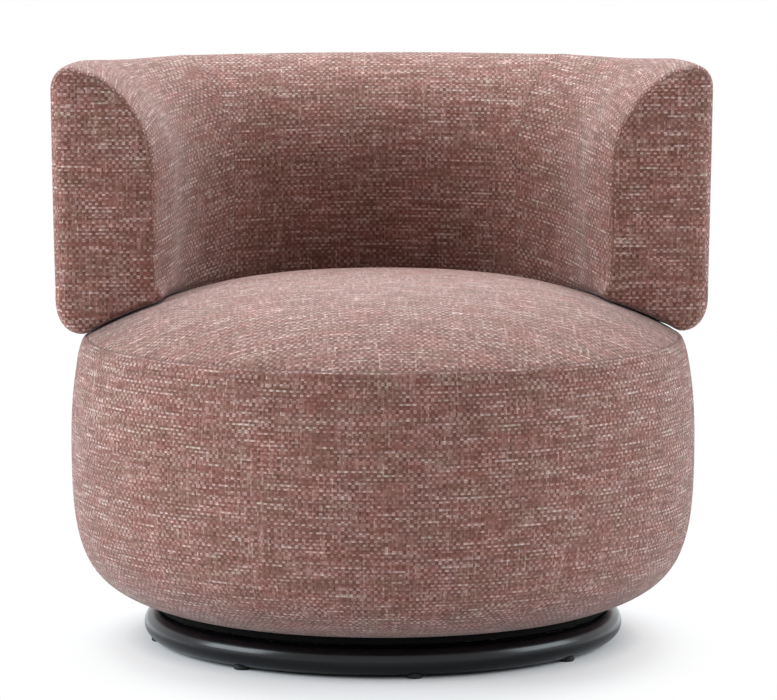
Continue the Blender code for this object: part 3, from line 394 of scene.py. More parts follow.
# %% Seat and drum values, as in the CAD model
SEAM_RADIUS, SEAM_HEIGHT = 0.3515, 0.363
SEAT_CROWN, CROWN_POWER = 0.066, 3.0
DRUM_RADIUS, WIDEST_HEIGHT = 0.3685, 0.250
HEM_RADIUS, HEM_HEIGHT = 0.2712, 0.047
SIDE_HANDLE, UNDERSIDE_HANDLE, UNDERSIDE_SLOPE = 0.135, 0.100, math.radians(15.6)
HEM_TURN = ((-0.0006, 0.0012), (0.0006, 0.0023))  # the hem's folded edge, in and up from the hem line
CAVITY_RADIUS, CAVITY_RIM, CAVITY_TOP = 0.2842, 0.0062, 0.3297
HOLLOW_ROWS = len(HEM_TURN) + 2  # of points, inside the hem
TOP_STEP, SIDE_STEP = 0.0086, 0.0086  # between the rows of points away from the seams
SHOULDER_STEPS, FLANK_STEPS = 60, 120  # of the exact outline, before its points are spaced
TOP_STRETCH = 1.02              # the domed panel is cut a little longer than the seat is deep
HOLLOW_STEP = 0.01              # between the hidden rows on the flat map

# %% [markdown]
# ### The round seat
# The seat's top is a round panel of cloth laid flat, so its weave runs straight across. The side panel goes
# round the drum, and its rows run round with it. A disc with a point in the middle pinches the mesh there,
# so the top is a grid of square rings instead, each with eight more points than the one inside it, which is
# four-sided all over.


# %% Dome and drum
def dome_height(radius):
    """Height of the seat's top at a radius."""
    return SEAM_HEIGHT + SEAT_CROWN * (1 - (radius / SEAM_RADIUS) ** CROWN_POWER)


def drum_side():
    """The side's outline, from the seam out over the widest line and in to the hem."""
    line = [(SEAM_RADIUS + (DRUM_RADIUS - SEAM_RADIUS) * math.cos(a),
             WIDEST_HEIGHT + (SEAM_HEIGHT - WIDEST_HEIGHT) * math.sin(a))
            for a in np.linspace(math.pi / 2, 0, SHOULDER_STEPS)]
    handles = [(DRUM_RADIUS, WIDEST_HEIGHT), (DRUM_RADIUS, WIDEST_HEIGHT - SIDE_HANDLE),
               (HEM_RADIUS + UNDERSIDE_HANDLE * math.cos(UNDERSIDE_SLOPE),
                HEM_HEIGHT + UNDERSIDE_HANDLE * math.sin(UNDERSIDE_SLOPE)), (HEM_RADIUS, HEM_HEIGHT)]
    for t in np.linspace(0, 1, FLANK_STEPS)[1:]:
        weights = ((1 - t) ** 3, 3 * (1 - t) ** 2 * t, 3 * (1 - t) * t ** 2, t ** 3)
        line.append(tuple(sum(w * h[k] for w, h in zip(weights, handles)) for k in (0, 1)))
    return line


print("the side panel is", round(1000 * length_of(drum_side())), "mm high along the cloth")


# %% Seat mesh
def ring_of_squares(i, j):
    """Which ring of the top's grid a corner lies on, and how far round it, from 0 to 1."""
    ring = max(abs(i), abs(j))
    if ring == 0:
        return 0, 0.0
    if i == ring and j < ring:
        turn = j
    elif j == ring and i > -ring:
        turn = 2 * ring - i
    elif i == -ring and j > -ring:
        turn = 4 * ring - j
    else:
        turn = 6 * ring + i
    return ring, (turn / (8 * ring)) % 1.0


def build_seat():
    """The seat's upholstery: top, side, hem and the hollow that the wooden frame stands in."""
    points, faces, uvs, seam_distance = [], [], [], []
    inward = graded(SEAM_RADIUS, 1, TOP_STEP)
    count = len(inward) - 1
    radii = [SEAM_RADIUS - d for d in reversed(inward)]
    corner = {}
    for i in range(-count, count + 1):
        for j in range(-count, count + 1):
            ring, turn = ring_of_squares(i, j)
            angle = 2 * math.pi * turn
            r = radii[ring]
            corner[i, j] = len(points)
            points.append((r * math.cos(angle), r * math.sin(angle), dome_height(r)))
            seam_distance.append(SEAM_RADIUS - r)
    for i in range(-count, count):
        for j in range(-count, count):
            face = [corner[i, j], corner[i + 1, j], corner[i + 1, j + 1], corner[i, j + 1]]
            faces.append(face)
            uvs.append([(points[k][0], points[k][1] * TOP_STRETCH) for k in face])
    columns = 8 * count
    rim = [0] * columns
    for (i, j), k in corner.items():
        ring, turn = ring_of_squares(i, j)
        if ring == count:
            rim[round(turn * columns)] = k

    side = drum_side()
    marks = graded(length_of(side), 1, SIDE_STEP)
    inner = [(HEM_RADIUS + r, HEM_HEIGHT + z) for r, z in HEM_TURN]
    inner += [(CAVITY_RADIUS, HEM_HEIGHT + CAVITY_RIM), (CAVITY_RADIUS, CAVITY_TOP)]
    rows = [tuple(p) for p in spaced(side, marks[1:])] + inner
    marks = marks[1:] + [marks[-1] + HOLLOW_STEP * (k + 1) for k in range(HOLLOW_ROWS)]
    above, above_mark = rim, 0.0
    for (r, z), mark in zip(rows, marks):
        start = len(points)
        for c in range(columns):
            angle = 2 * math.pi * c / columns
            points.append((r * math.cos(angle), r * math.sin(angle), z))
            seam_distance.append(mark)
        below = list(range(start, start + columns))
        for c in range(columns):
            d = (c + 1) % columns
            faces.append([above[c], below[c], below[d], above[d]])
            left, right = (2 * math.pi * DRUM_RADIUS * x / columns for x in (c, c + 1))
            uvs.append([(left, -above_mark), (left, -mark), (right, -mark), (right, -above_mark)])
        above, above_mark = below, mark
    return points, faces, uvs, seam_distance


seat_points, seat_faces, seat_uvs, seat_seam_distance = build_seat()
print("seat mesh", len(seat_points), "points")

# %% Back values, as in the CAD model
BACK_HEIGHT, BACK_INSIDE, BACK_OUTSIDE = 0.679, 0.2625, 0.3925
BACK_LEAN, BACK_TOP_RADIUS, BACK_FOOT_RADIUS, BACK_HEEL_RADIUS = 0.004, 0.033, 0.028, 0.010
BACK_SLOPE_DROP, BACK_SLOPE_POWER = 0.125, 1.75
ARM_UNDERSIDE = 0.365
ARM_PUFF, ARM_PUFF_ANGLE = 0.009, math.radians(38)
ARM_BULGE = 0.012               # the arms are a little thicker inside, where their foam is free at the end
ARM_EDGE, ARM_ROLL = 0.014, 0.018  # how far an arm's end stands forward, and how wide its rolled edge is
NOSE_LENGTH, NOSE_TAPER, NOSE_POWER = 0.100, 0.018, 1.5  # an arm narrows softly before its end,
NOSE_TOP, NOSE_UNDER, NOSE_OUTSIDE = 0.5, 0.0, 0.0  # less over its top, and not at all below and outside
ROLL_UNDER = 0.45               # the rolled edge is narrower below than over the top,
ROLL_HEEL, HEEL_REACH = 0.35, 0.055  # and narrowest in the tight corner on the seat
FOOT_HEIGHT = 0.042             # the foam's lower edge is taller than it is wide
ROLL_START = math.radians(14)   # the slope at which the rolled edge takes over
ROLL_STEPS = (90, 75, 62, 52, 45, 38, 26)  # degrees round the rolled edge, from the flat panel out
PANEL_SEAM = math.radians(45)   # where on the roll the end panel is sewn on
SEAT_CLEARANCE = 0.0006
BACK_SEAMS = (49.0, 131.0)      # degrees round from the right arm's end
BACK_MIDDLE = 0.34              # a radius inside the foam, on which lengths round the back are measured
WING_GRAIN = math.tan(math.radians(9))  # the wings' rows run askew, as a flat cut does on a bent arm
PANELS_APART = 2.0              # on the flat map, so that no two panels share a piece of cloth

STATION_STEP = 0.0085           # between sections, away from the seams
SECTION_COUNTS = (44, 8, 36, 16)  # points on the inner wall, crest corner, outer wall and underside
SECTION = sum(SECTION_COUNTS)
WALL_STEPS, ROUND_STEPS, UNDER_STEPS, HEEL_STEPS = 160, 24, 30, 12  # of the exact outline
PANEL_UP, PANEL_ACROSS = 40, 12  # the end panels' grid takes the outline as two long sides and two short ones
assert 2 * (PANEL_UP + PANEL_ACROSS) == SECTION
print("back sections of", SECTION, "points")

# %% [markdown]
# ### The wrap-round back
# The back is a single thick outline, upright outside and sloped inside, that sweeps in half a circle. Its
# crest lifts a little towards the arms, and each arm ends in a flat panel with a soft rolled edge. It could
# be a curve with a bevel, but a bevel keeps one outline, so the sections are worked out one by one and
# skinned. Its cloth is three panels joined in seams over the crest, and one more panel on each arm end.


# %% Crest and underside
def crest_rise(angle):
    """How much higher the crest is at an angle from the nearer arm end."""
    share = max(0.0, 1 - angle / ARM_PUFF_ANGLE)
    return ARM_PUFF * share * share * (3 - 2 * share)


def underside_height(radius):
    """Height of the back's underside, which lies on the seat, at a radius."""
    return dome_height(min(radius, SEAM_RADIUS)) + SEAT_CLEARANCE


# %% Narrowing an outline
def pulled_in(points, distance, outside=1.0, top=1.0, under=1.0, heel=1.0):
    """A closed outline moved inwards; its sides and the corner at its start move by the share given."""
    if not distance:
        return points
    p = np.array(points)
    ahead, behind = np.roll(p, -1, axis=0), np.roll(p, 1, axis=0)
    along = ahead - behind
    along /= np.linalg.norm(along, axis=1)[:, None]
    inwards = np.column_stack([along[:, 1], -along[:, 0]])
    share = (1 - (1 - outside) * np.clip(-inwards[:, 0], 0, 1)
             - (1 - top) * np.clip(-inwards[:, 1], 0, 1) ** 2
             - (1 - under) * np.clip(inwards[:, 1], 0, 1)).clip(0, 1)
    near = np.clip(np.linalg.norm(p - p[0], axis=1) / HEEL_REACH, 0, 1)
    share = np.minimum(share, heel + (1 - heel) * near * near * (3 - 2 * near))
    return [tuple(q) for q in p + inwards * distance * share[:, None]]


# %% The back's outline
def back_section(rise, shrink=0.0, taper=0.0):
    """The back's outline as points of (radius, height): inner wall, crest, outer wall and underside."""
    top = BACK_HEIGHT + rise
    inside = BACK_INSIDE - ARM_BULGE * rise / ARM_PUFF
    crest = BACK_OUTSIDE - BACK_TOP_RADIUS
    slope = 2 / BACK_SLOPE_POWER
    wall = [(crest - (crest - inside) * math.cos(a) ** slope,
             top - BACK_SLOPE_DROP + BACK_SLOPE_DROP * math.sin(a) ** slope)
            for a in np.linspace(0, math.pi / 2, WALL_STEPS)]
    corner = [(crest + BACK_TOP_RADIUS * math.sin(a), top - BACK_TOP_RADIUS * (1 - math.cos(a)))
              for a in np.linspace(0, math.pi / 2, ROUND_STEPS)]
    foot_r, foot_z = BACK_OUTSIDE - BACK_LEAN - BACK_FOOT_RADIUS, ARM_UNDERSIDE + FOOT_HEIGHT
    foot = [(foot_r + BACK_FOOT_RADIUS * math.cos(a), foot_z - FOOT_HEIGHT * math.sin(a))
            for a in np.linspace(0, math.pi / 2, ROUND_STEPS)]
    under = [(r, underside_height(r))
             for r in np.linspace(SEAM_RADIUS, inside + BACK_HEEL_RADIUS, UNDER_STEPS)]
    heel = []
    for a in np.linspace(0, math.pi / 2, HEEL_STEPS):
        r = inside + BACK_HEEL_RADIUS * (1 - math.sin(a))
        heel.append((r, underside_height(r) + BACK_HEEL_RADIUS * (1 - math.cos(a))))
    middle = len(foot) // 2 + 1  # the outer wall ends half way round the foot
    lines = [heel[-1:] + wall, corner, corner[-1:] + foot[:middle + 1], foot[middle:] + under[:-1] + heel]
    points = []
    for line, count in zip(lines, SECTION_COUNTS):
        marks = np.linspace(0, length_of(line), count + 1)[:-1]
        points.extend(tuple(p) for p in spaced(line, marks))
    points = pulled_in(points, taper, NOSE_OUTSIDE, NOSE_TOP, NOSE_UNDER)
    return pulled_in(points, shrink, under=ROLL_UNDER, heel=ROLL_HEEL)


print("the back's outline is", round(1000 * length_of(back_section(0.0))), "mm round")


# %% Sections along the back
def nose(from_end):
    """How much an arm's outline has narrowed at a distance from its end."""
    share = max(0.0, 1 - from_end / NOSE_LENGTH)
    return NOSE_TAPER * share ** NOSE_POWER


def station_angles():
    """Angles of the sections, closer beside the seams."""
    marks, edges = [], [0.0, *BACK_SEAMS, 180.0]
    for low, high in zip(edges, edges[1:]):
        reach = math.radians(high - low) * BACK_MIDDLE
        steps = [math.degrees(d / BACK_MIDDLE) for d in graded(reach, 2, STATION_STEP)]
        marks.extend(low + s for s in steps[:-1])
    return [math.radians(a) for a in marks + [180.0]]


print(len(station_angles()), "sections round the back")


# %% Rings of the back
def end_ring(theta, side):
    """A ring of an arm's rolled edge, and where its cloth lies on the end panel's flat map."""
    forward = ARM_EDGE * (math.sin(theta) - math.sin(ROLL_START))
    narrower = ARM_ROLL * (math.cos(ROLL_START) - math.cos(theta))
    outline = back_section(crest_rise(0), narrower, NOSE_TAPER)
    flat_rim = ARM_ROLL * math.cos(ROLL_START)
    unrolled = back_section(crest_rise(0), flat_rim - ARM_ROLL * (math.pi / 2 - theta), NOSE_TAPER)
    return [(side * r, -forward, z) for r, z in outline], [(side * r, z) for r, z in unrolled]


def back_rings():
    """Rings of points from one end panel to the other, and what the flat map needs of them.

    Each ring's tag is its angle, its way round the rolled edge and its distance from a seam. The rings on the
    two rolled edges also have their places on the end panels' flat maps, by their numbers."""
    rings, tags, on_panel = [], [], {}
    edge_steps = [math.radians(step) for step in ROLL_STEPS]

    def add_rolled_edge(steps, side, angle):
        for theta in steps:
            ring, on_panel[len(rings)] = end_ring(theta, side)
            rings.append(ring)
            round_roll = -side * ARM_ROLL * (theta - ROLL_START)
            tags.append((angle, round_roll, ARM_ROLL * abs(PANEL_SEAM - theta)))

    add_rolled_edge(edge_steps, 1, 0.0)
    for angle in station_angles():
        from_end = min(angle, math.pi - angle)
        outline = back_section(crest_rise(from_end), 0.0, nose(from_end * BACK_OUTSIDE))
        rings.append([(r * math.cos(angle), r * math.sin(angle), z) for r, z in outline])
        nearest = min(abs(math.degrees(angle) - s) for s in BACK_SEAMS)
        beyond_roll = from_end * BACK_MIDDLE + ARM_ROLL * (PANEL_SEAM - ROLL_START)
        tags.append((angle, 0.0, min(math.radians(nearest) * BACK_MIDDLE, beyond_roll)))
    add_rolled_edge(edge_steps[::-1], -1, math.pi)
    return rings, tags, on_panel


# %% The arms' end panels
def filled(outline):
    """A grid of points inside a closed outline, blended from its four sides."""
    ring = outline + outline[:1]
    left, top = ring[:PANEL_UP + 1], ring[PANEL_UP:PANEL_UP + PANEL_ACROSS + 1]
    half = PANEL_UP + PANEL_ACROSS
    right, bottom = ring[half:half + PANEL_UP + 1][::-1], ring[half + PANEL_UP:][::-1]
    left, top, right, bottom = (np.array(side) for side in (left, top, right, bottom))
    grid = np.zeros((PANEL_UP + 1, PANEL_ACROSS + 1, 3))
    for i in range(PANEL_UP + 1):
        for j in range(PANEL_ACROSS + 1):
            s, t = i / PANEL_UP, j / PANEL_ACROSS
            grid[i, j] = ((1 - t) * left[i] + t * right[i] + (1 - s) * bottom[j] + s * top[j]
                          - (1 - s) * ((1 - t) * bottom[0] + t * bottom[-1])
                          - s * ((1 - t) * top[0] + t * top[-1]))
    return grid


def panel_grid(points, base):
    """Adds an end panel's inner points, inside the ring that starts at base, and gives the grid's numbers."""
    grid = filled([points[base + k] for k in range(SECTION)])
    index = np.zeros((PANEL_UP + 1, PANEL_ACROSS + 1), int)
    for i in range(PANEL_UP + 1):
        for j in range(PANEL_ACROSS + 1):
            if j == 0:
                index[i, j] = base + i
            elif i == PANEL_UP:
                index[i, j] = base + PANEL_UP + j
            elif j == PANEL_ACROSS:
                index[i, j] = base + (2 * PANEL_UP + PANEL_ACROSS - i)
            elif i == 0:
                index[i, j] = base + (SECTION - j) % SECTION
            else:
                index[i, j] = len(points)
                points.append(tuple(grid[i, j]))
    return index.tolist()


# %% The whole back
def build_back():
    """The back's upholstery as points, faces, flat map and distance from a seam."""
    points, faces, uvs, seam_distance = [], [], [], []
    rings, tags, on_panel = back_rings()
    outline = back_section(0.0)
    around = [0.0]
    for k in range(SECTION):
        a, b = outline[k], outline[(k + 1) % SECTION]
        around.append(around[-1] + math.hypot(b[0] - a[0], b[1] - a[1]))
    limits = [0.0, *(math.radians(s) for s in BACK_SEAMS), math.pi]
    middles = [0.5 * (limits[p] + limits[p + 1]) for p in range(3)]
    on_show = np.ones(SECTION)
    on_show[sum(SECTION_COUNTS[:2]):] = 0.0  # the end panel's seam has a fold inside and over the crest only
    for ring, (_, extra, gap) in zip(rings, tags):
        points.extend(ring)
        seam_distance.extend([gap if extra == 0 or shown else ARM_ROLL for shown in on_show])

    seam_at = ARM_ROLL * (PANEL_SEAM - ROLL_START) - 1e-6
    for r in range(len(rings) - 1):
        (a0, e0, _), (a1, e1, _) = tags[r], tags[r + 1]
        middle = 0.5 * (a0 + a1)
        which = sum(middle >= limit for limit in limits[1:3])
        end_panel = {r, r + 1} <= set(on_panel) and min(abs(e0), abs(e1)) >= seam_at
        for k in range(SECTION):
            n = (k + 1) % SECTION
            faces.append([r * SECTION + k, r * SECTION + n, (r + 1) * SECTION + n, (r + 1) * SECTION + k])
            if end_panel:
                uvs.append([on_panel[r][k], on_panel[r][n], on_panel[r + 1][n], on_panel[r + 1][k]])
                continue
            corners = []
            for angle, extra, m in ((a0, e0, k), (a0, e0, k + 1), (a1, e1, k + 1), (a1, e1, k)):
                radius = outline[m % SECTION][0]
                u = (angle - middles[which]) * radius + extra
                from_seam = (limits[1] - angle, 0.0, angle - limits[2])[which]
                corners.append((u + PANELS_APART * which, around[m] + WING_GRAIN * from_seam * radius))
            uvs.append(corners)

    for base, outwards in ((0, True), ((len(rings) - 1) * SECTION, False)):
        index = panel_grid(points, base)
        for i in range(PANEL_UP):
            for j in range(PANEL_ACROSS):
                face = [index[i][j], index[i][j + 1], index[i + 1][j + 1], index[i + 1][j]]
                faces.append(face if outwards else face[::-1])
                uvs.append([(points[f][0], points[f][2]) for f in faces[-1]])
    seam_distance.extend([ARM_ROLL] * (len(points) - len(seam_distance)))
    return points, faces, uvs, seam_distance


back_points, back_faces, back_uvs, back_seam_distance = build_back()
print("back mesh", len(back_points), "points")

# %% [markdown]
# ### Seams
# Where two panels are sewn together the cloth turns in and is held down, so the surface dips over a few
# millimetres. The dip is made last, by moving each point inwards by how close it is to the seam, and the
# bottom of the dip is darkened in the cloth's colour as painted shade.

# %% Seam folds
# The depth and the half width of each piece's folds.
SEAM_FOLDS = {"seat_upholstery": (0.0009, 0.0028), "back_upholstery": (0.0004, 0.0024)}
PAINTED_FOLD_LINE = 0.45                # the painted shade line at the bottom of a fold is this share of its width


def pull_in_seams(piece, depth, width):
    """Moves the points beside a seam inwards, and turns their distances into the share of painted shade in
    the fold.
    """
    mesh = piece.data
    values = np.zeros(len(mesh.vertices), np.float32)
    mesh.attributes["seam_fold"].data.foreach_get("value", values)
    share = np.exp(-(values / width) ** 2)
    places = np.zeros(len(mesh.vertices) * 3, np.float32)
    normals = np.zeros(len(mesh.vertices) * 3, np.float32)
    mesh.vertices.foreach_get("co", places)
    mesh.vertices.foreach_get("normal", normals)
    moved = places.reshape(-1, 3) - normals.reshape(-1, 3) * (depth * share)[:, None]
    mesh.vertices.foreach_set("co", moved.astype(np.float32).ravel())
    narrow = np.exp(-(values / (PAINTED_FOLD_LINE * width)) ** 2).astype(np.float32)
    mesh.attributes["seam_fold"].data.foreach_set("value", narrow)
    mesh.update()


# %% Finer, closed and measured
def subdivide(piece):
    """Applies one level of subdivision."""
    smoother = piece.modifiers.new("finer", "SUBSURF")
    smoother.levels = smoother.render_levels = 1
    smoother.uv_smooth = "PRESERVE_BOUNDARIES"
    graph = bpy.context.evaluated_depsgraph_get()
    finer = bpy.data.meshes.new_from_object(piece.evaluated_get(graph))
    piece.modifiers.clear()
    piece.data = finer


def close_openings(piece):
    """Closes a mesh's open edges with one flat face each."""
    bm = bmesh.new()
    bm.from_mesh(piece.data)
    made = bmesh.ops.holes_fill(bm, edges=[e for e in bm.edges if e.is_boundary], sides=0)
    bmesh.ops.triangulate(bm, faces=made["faces"])
    bm.to_mesh(piece.data)
    bm.free()


def litres(piece):
    """Volume of a closed mesh, which is positive when its faces point outwards."""
    bm = bmesh.new()
    bm.from_mesh(piece.data)
    volume = bm.calc_volume(signed=True)
    bm.free()
    return volume * 1000


# %% [markdown]
# ### Letting the foam swell
# Cloth over foam is never exactly the pattern's shape: it is held along its seams and bellies out between
# them. The bulge could be modelled by hand, but a short cloth simulation finds it by itself. Each piece
# starts a little smaller than it should be, is held at its seams and where it rests on something, and is
# blown up for twenty frames; how far any point may move is capped, so the finished piece keeps the size of
# the CAD model.

# %% Cloth simulation
PUFF_FRAMES = 20
PUFF_START = 0.0008             # how much smaller a piece starts
PUFF_CAP = 0.0040               # and how far a point may then move
PUFF_REACH = 0.030              # over which a point's freedom grows, from none at a seam to full
PUFF_STRETCH = {"seat_upholstery": 1.5, "back_upholstery": 15.0}  # the seat's cloth has to give more
PUFF_MASS, PUFF_PRESSURE = 0.3, 4.0
HELD_BELOW = 0.02               # points with less freedom than this don't move at all
EASING_ROUNDS = 60              # the cover is pulled tight when it is fitted, so small wrinkles are eased out
EASING_OWN, EASING_AROUND = 0.3, 0.7  # shares of a point's own move and of its neighbours'
EASING_EDGE = 3                 # how soon the eased moves reach full size away from the held points


# %% Easing
def point_values(mesh, name):
    """The points' places or normals as rows of three numbers."""
    values = np.zeros(len(mesh.vertices) * 3, np.float32)
    mesh.vertices.foreach_get(name, values)
    return values.reshape(-1, 3).astype(float)


def eased(mesh, moves, free):
    """Evens out the points' moves with their neighbours', which leaves the belly and takes the wrinkles."""
    ends = np.zeros(len(mesh.edges) * 2, np.int32)
    mesh.edges.foreach_get("vertices", ends)
    a, b = ends.reshape(-1, 2).T
    count = len(mesh.vertices)
    shared = np.bincount(a, minlength=count) + np.bincount(b, minlength=count)
    for _ in range(EASING_ROUNDS):
        around = np.column_stack([np.bincount(a, moves[b, k], count) + np.bincount(b, moves[a, k], count)
                                  for k in range(3)]) / shared[:, None]
        moves = (EASING_OWN * moves + EASING_AROUND * around) * free[:, None]
    return moves


# %% Swelling
def swell(piece, seam_distance, freedom):
    """Blows a piece up between its seams. freedom is 0 for the points that are held and 1 for free ones."""
    mesh = piece.data
    full = point_values(mesh, "co")
    loose = np.clip(np.array(seam_distance) / PUFF_REACH, 0, 1) ** 0.5 * freedom
    start = full - point_values(mesh, "normal") * (PUFF_START * loose)[:, None]
    mesh.vertices.foreach_set("co", start.astype(np.float32).ravel())
    mesh.update()
    held = piece.vertex_groups.new(name="held")
    held.add([int(i) for i in np.nonzero(loose < HELD_BELOW)[0]], 1.0, "REPLACE")
    puff = piece.modifiers.new("puff", "CLOTH")
    puff.settings.quality = 4
    puff.settings.mass = PUFF_MASS
    stretch = PUFF_STRETCH[piece.name]
    puff.settings.tension_stiffness = puff.settings.compression_stiffness = stretch
    puff.settings.shear_stiffness = stretch / 2
    puff.settings.bending_stiffness = stretch / 8
    puff.settings.vertex_group_mass = "held"
    puff.settings.use_pressure = True
    puff.settings.uniform_pressure_force = PUFF_PRESSURE
    puff.settings.effector_weights.gravity = 0.0
    puff.collision_settings.use_collision = False
    puff.point_cache.frame_start, puff.point_cache.frame_end = 1, PUFF_FRAMES
    for frame_number in range(1, PUFF_FRAMES + 1):
        bpy.context.scene.frame_set(frame_number)
    blown = piece.evaluated_get(bpy.context.evaluated_depsgraph_get()).to_mesh()
    moved = point_values(blown, "co") - start
    piece.evaluated_get(bpy.context.evaluated_depsgraph_get()).to_mesh_clear()
    piece.modifiers.clear()
    piece.vertex_groups.clear()
    bpy.context.scene.frame_set(1)
    far = np.linalg.norm(moved, axis=1)
    capped = moved * (PUFF_CAP * np.tanh(far / PUFF_CAP) / np.maximum(far, 1e-9))[:, None]
    kept = eased(mesh, capped, np.minimum(1, loose * EASING_EDGE))
    mesh.vertices.foreach_set("co", (start + kept).astype(np.float32).ravel())
    mesh.update()
    print(piece.name, "swelled", round(1000 * float(far.mean()), 2), "mm, kept",
          round(1000 * float(np.linalg.norm(kept, axis=1).mean()), 2), "mm on average")


# %% Upholstery pieces
seat = make_piece("seat_upholstery", seat_points, seat_faces, seat_uvs, cloth, seat_seam_distance)
back = make_piece("back_upholstery", back_points, back_faces, back_uvs, cloth, back_seam_distance)
print("made", seat.name, "and", back.name)

# %% What is held
HOLD_FADE = 0.03                # over which the back's grip on the seat's cloth fades
HOLD_FRONT = 0.045              # how far before the chair's middle the back grips it
HEM_HELD = (0.052, 0.06)        # the seat's side is held up to this height, and free this much above it
FOOT_HELD = (0.006, 0.05)       # the same of the back, above the seat

places = np.array(seat_points)
reach = np.hypot(places[:, 0], places[:, 1])
below_wall = np.clip((reach - BACK_INSIDE + HOLD_FADE) / HOLD_FADE, 0, 1)
behind_front = np.clip((places[:, 1] + HOLD_FRONT) / HOLD_FADE, 0, 1)
gripped = np.minimum(below_wall, behind_front) * (places[:, 2] > SEAM_HEIGHT - HOLD_FADE)
seat_freedom = (1 - gripped) * np.clip((places[:, 2] - HEM_HELD[0]) / HEM_HELD[1], 0, 1)
columns = 8 * (len(graded(SEAM_RADIUS, 1, TOP_STEP)) - 1)
seat_freedom[-HOLLOW_ROWS * columns:] = 0.0

places = np.array(back_points)
reach = np.hypot(places[:, 0], np.maximum(places[:, 1], 0))
above_seat = places[:, 2] - np.array([dome_height(min(r, SEAM_RADIUS)) for r in reach])
back_freedom = np.clip((above_seat - FOOT_HELD[0]) / FOOT_HELD[1], 0, 1)
print("points held:", int((seat_freedom == 0).sum()), "of the seat and", int((back_freedom == 0).sum()),
      "of the back")

# %% Finished upholstery
swell(seat, seat_seam_distance, seat_freedom)
swell(back, back_seam_distance, back_freedom)

for piece in (seat, back):
    subdivide(piece)
    pull_in_seams(piece, *SEAM_FOLDS[piece.name])
    if piece is seat:
        close_openings(piece)
    print(piece.name, "holds", round(litres(piece), 1), "litres")
    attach(piece, "seat")
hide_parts("seat_cover", "seat_cushion", "drum_padding")
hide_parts("back_cover", "back_cushion")

# %% [markdown]
# ## The base ring
# The chair stands on one turn of steel tube, bent to a circle, welded and powder coated. A torus would do,
# but a small node tree that sweeps the tube's circle round the ring's circle keeps both real sizes as its
# inputs.

# %% Powder coat
# Epoxy polyester powder, sprayed dry and baked: deep black, satin, with a faint orange peel 2 mm across.
powder, tree = new_material("black_powder_coat")
place = add_node(tree, "ShaderNodeTexCoord").outputs["Object"]
peel = add_node(tree, "ShaderNodeTexNoise", {"Vector": place, "Scale": 1 / 0.0022, "Detail": 2.0})
bump = add_node(tree, "ShaderNodeBump", {"Strength": 0.16, "Distance": 0.0001, "Height": peel})
patch = add_node(tree, "ShaderNodeTexNoise", {"Vector": place, "Scale": 1 / 0.05, "Detail": 3.0})
gloss = add_node(tree, "ShaderNodeMapRange", {0: patch, 1: 0.3, 2: 0.7, 3: 0.21, 4: 0.27})
finish_material(tree, add_node(tree, "ShaderNodeBsdfPrincipled", {
    "Base Color": srgb("#06070b"), "Roughness": gloss, "Specular IOR Level": 0.36, "Normal": bump}))
print("made", powder.name)

# %% Base ring
RING_RADIUS, RING_TUBE, GLIDE_HEIGHT = 0.268, 0.0337, 0.0035
RING_STEPS, TUBE_STEPS = 240, 48


def node_tree(name, *inputs):
    """A geometry node tree with the inputs named, and the identifier of each of them."""
    group = bpy.data.node_groups.new(name, "GeometryNodeTree")
    group.interface.new_socket("Geometry", in_out="OUTPUT", socket_type="NodeSocketGeometry")
    return group, [group.interface.new_socket(label, in_out="INPUT", socket_type=kind).identifier
                   for label, kind in inputs]


# %% From a node tree to a mesh
def make_plain(holder):
    """Turns what a piece's node tree makes into its plain mesh, smooth all over."""
    made = bpy.data.meshes.new_from_object(holder.evaluated_get(bpy.context.evaluated_depsgraph_get()))
    holder.modifiers.clear()
    holder.data = made
    made.polygons.foreach_set("use_smooth", [True] * len(made.polygons))
    print(holder.name, "has", len(made.polygons), "faces")


def empty_piece(name):
    """A mesh object with nothing in it yet."""
    piece = bpy.data.objects.new(name, bpy.data.meshes.new(name))
    bpy.context.scene.collection.objects.link(piece)
    return piece


# %% The bent tube
ring_nodes, (radius_id, tube_id, height_id) = node_tree(
    "bent_tube_ring", ("Ring radius", "NodeSocketFloat"), ("Tube diameter", "NodeSocketFloat"),
    ("Height", "NodeSocketFloat"))
given = add_node(ring_nodes, "NodeGroupInput").outputs
circle = add_node(ring_nodes, "GeometryNodeCurvePrimitiveCircle",
                  {"Resolution": RING_STEPS, "Radius": given["Ring radius"]}, mode="RADIUS")
half = add_node(ring_nodes, "ShaderNodeMath", {0: given["Tube diameter"], 1: 0.5}, operation="MULTIPLY")
wall = add_node(ring_nodes, "GeometryNodeCurvePrimitiveCircle", {"Resolution": TUBE_STEPS, "Radius": half},
                mode="RADIUS")
bent = add_node(ring_nodes, "GeometryNodeCurveToMesh", {"Curve": circle, "Profile Curve": wall})
lift = add_node(ring_nodes, "ShaderNodeCombineXYZ", {2: given["Height"]})
raised = add_node(ring_nodes, "GeometryNodeTransform", {"Geometry": bent, "Translation": lift})
real = add_node(ring_nodes, "GeometryNodeRealizeInstances", {0: raised})
coated = add_node(ring_nodes, "GeometryNodeSetMaterial", {"Geometry": real, "Material": powder})
add_node(ring_nodes, "NodeGroupOutput", {0: coated})

ring = empty_piece("base_ring_tube")
builder = ring.modifiers.new("tube", "NODES")
builder.node_group = ring_nodes
builder[radius_id] = RING_RADIUS
builder[tube_id] = RING_TUBE
builder[height_id] = GLIDE_HEIGHT + RING_TUBE / 2
make_plain(ring)
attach(ring, "base")
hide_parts("base_ring")
print("ring holds", round(litres(ring), 2), "litres")

# %% [markdown]
# ## Stitches
# The panels are closed with a lockstitch from the inside. Pulled open, such a seam shows its thread as a
# row of short bars at the bottom of the fold. They are placed by one node tree along all the seam lines:
# the lines are cut at the stitch length and a small bar is put at each cut, turned along the line.

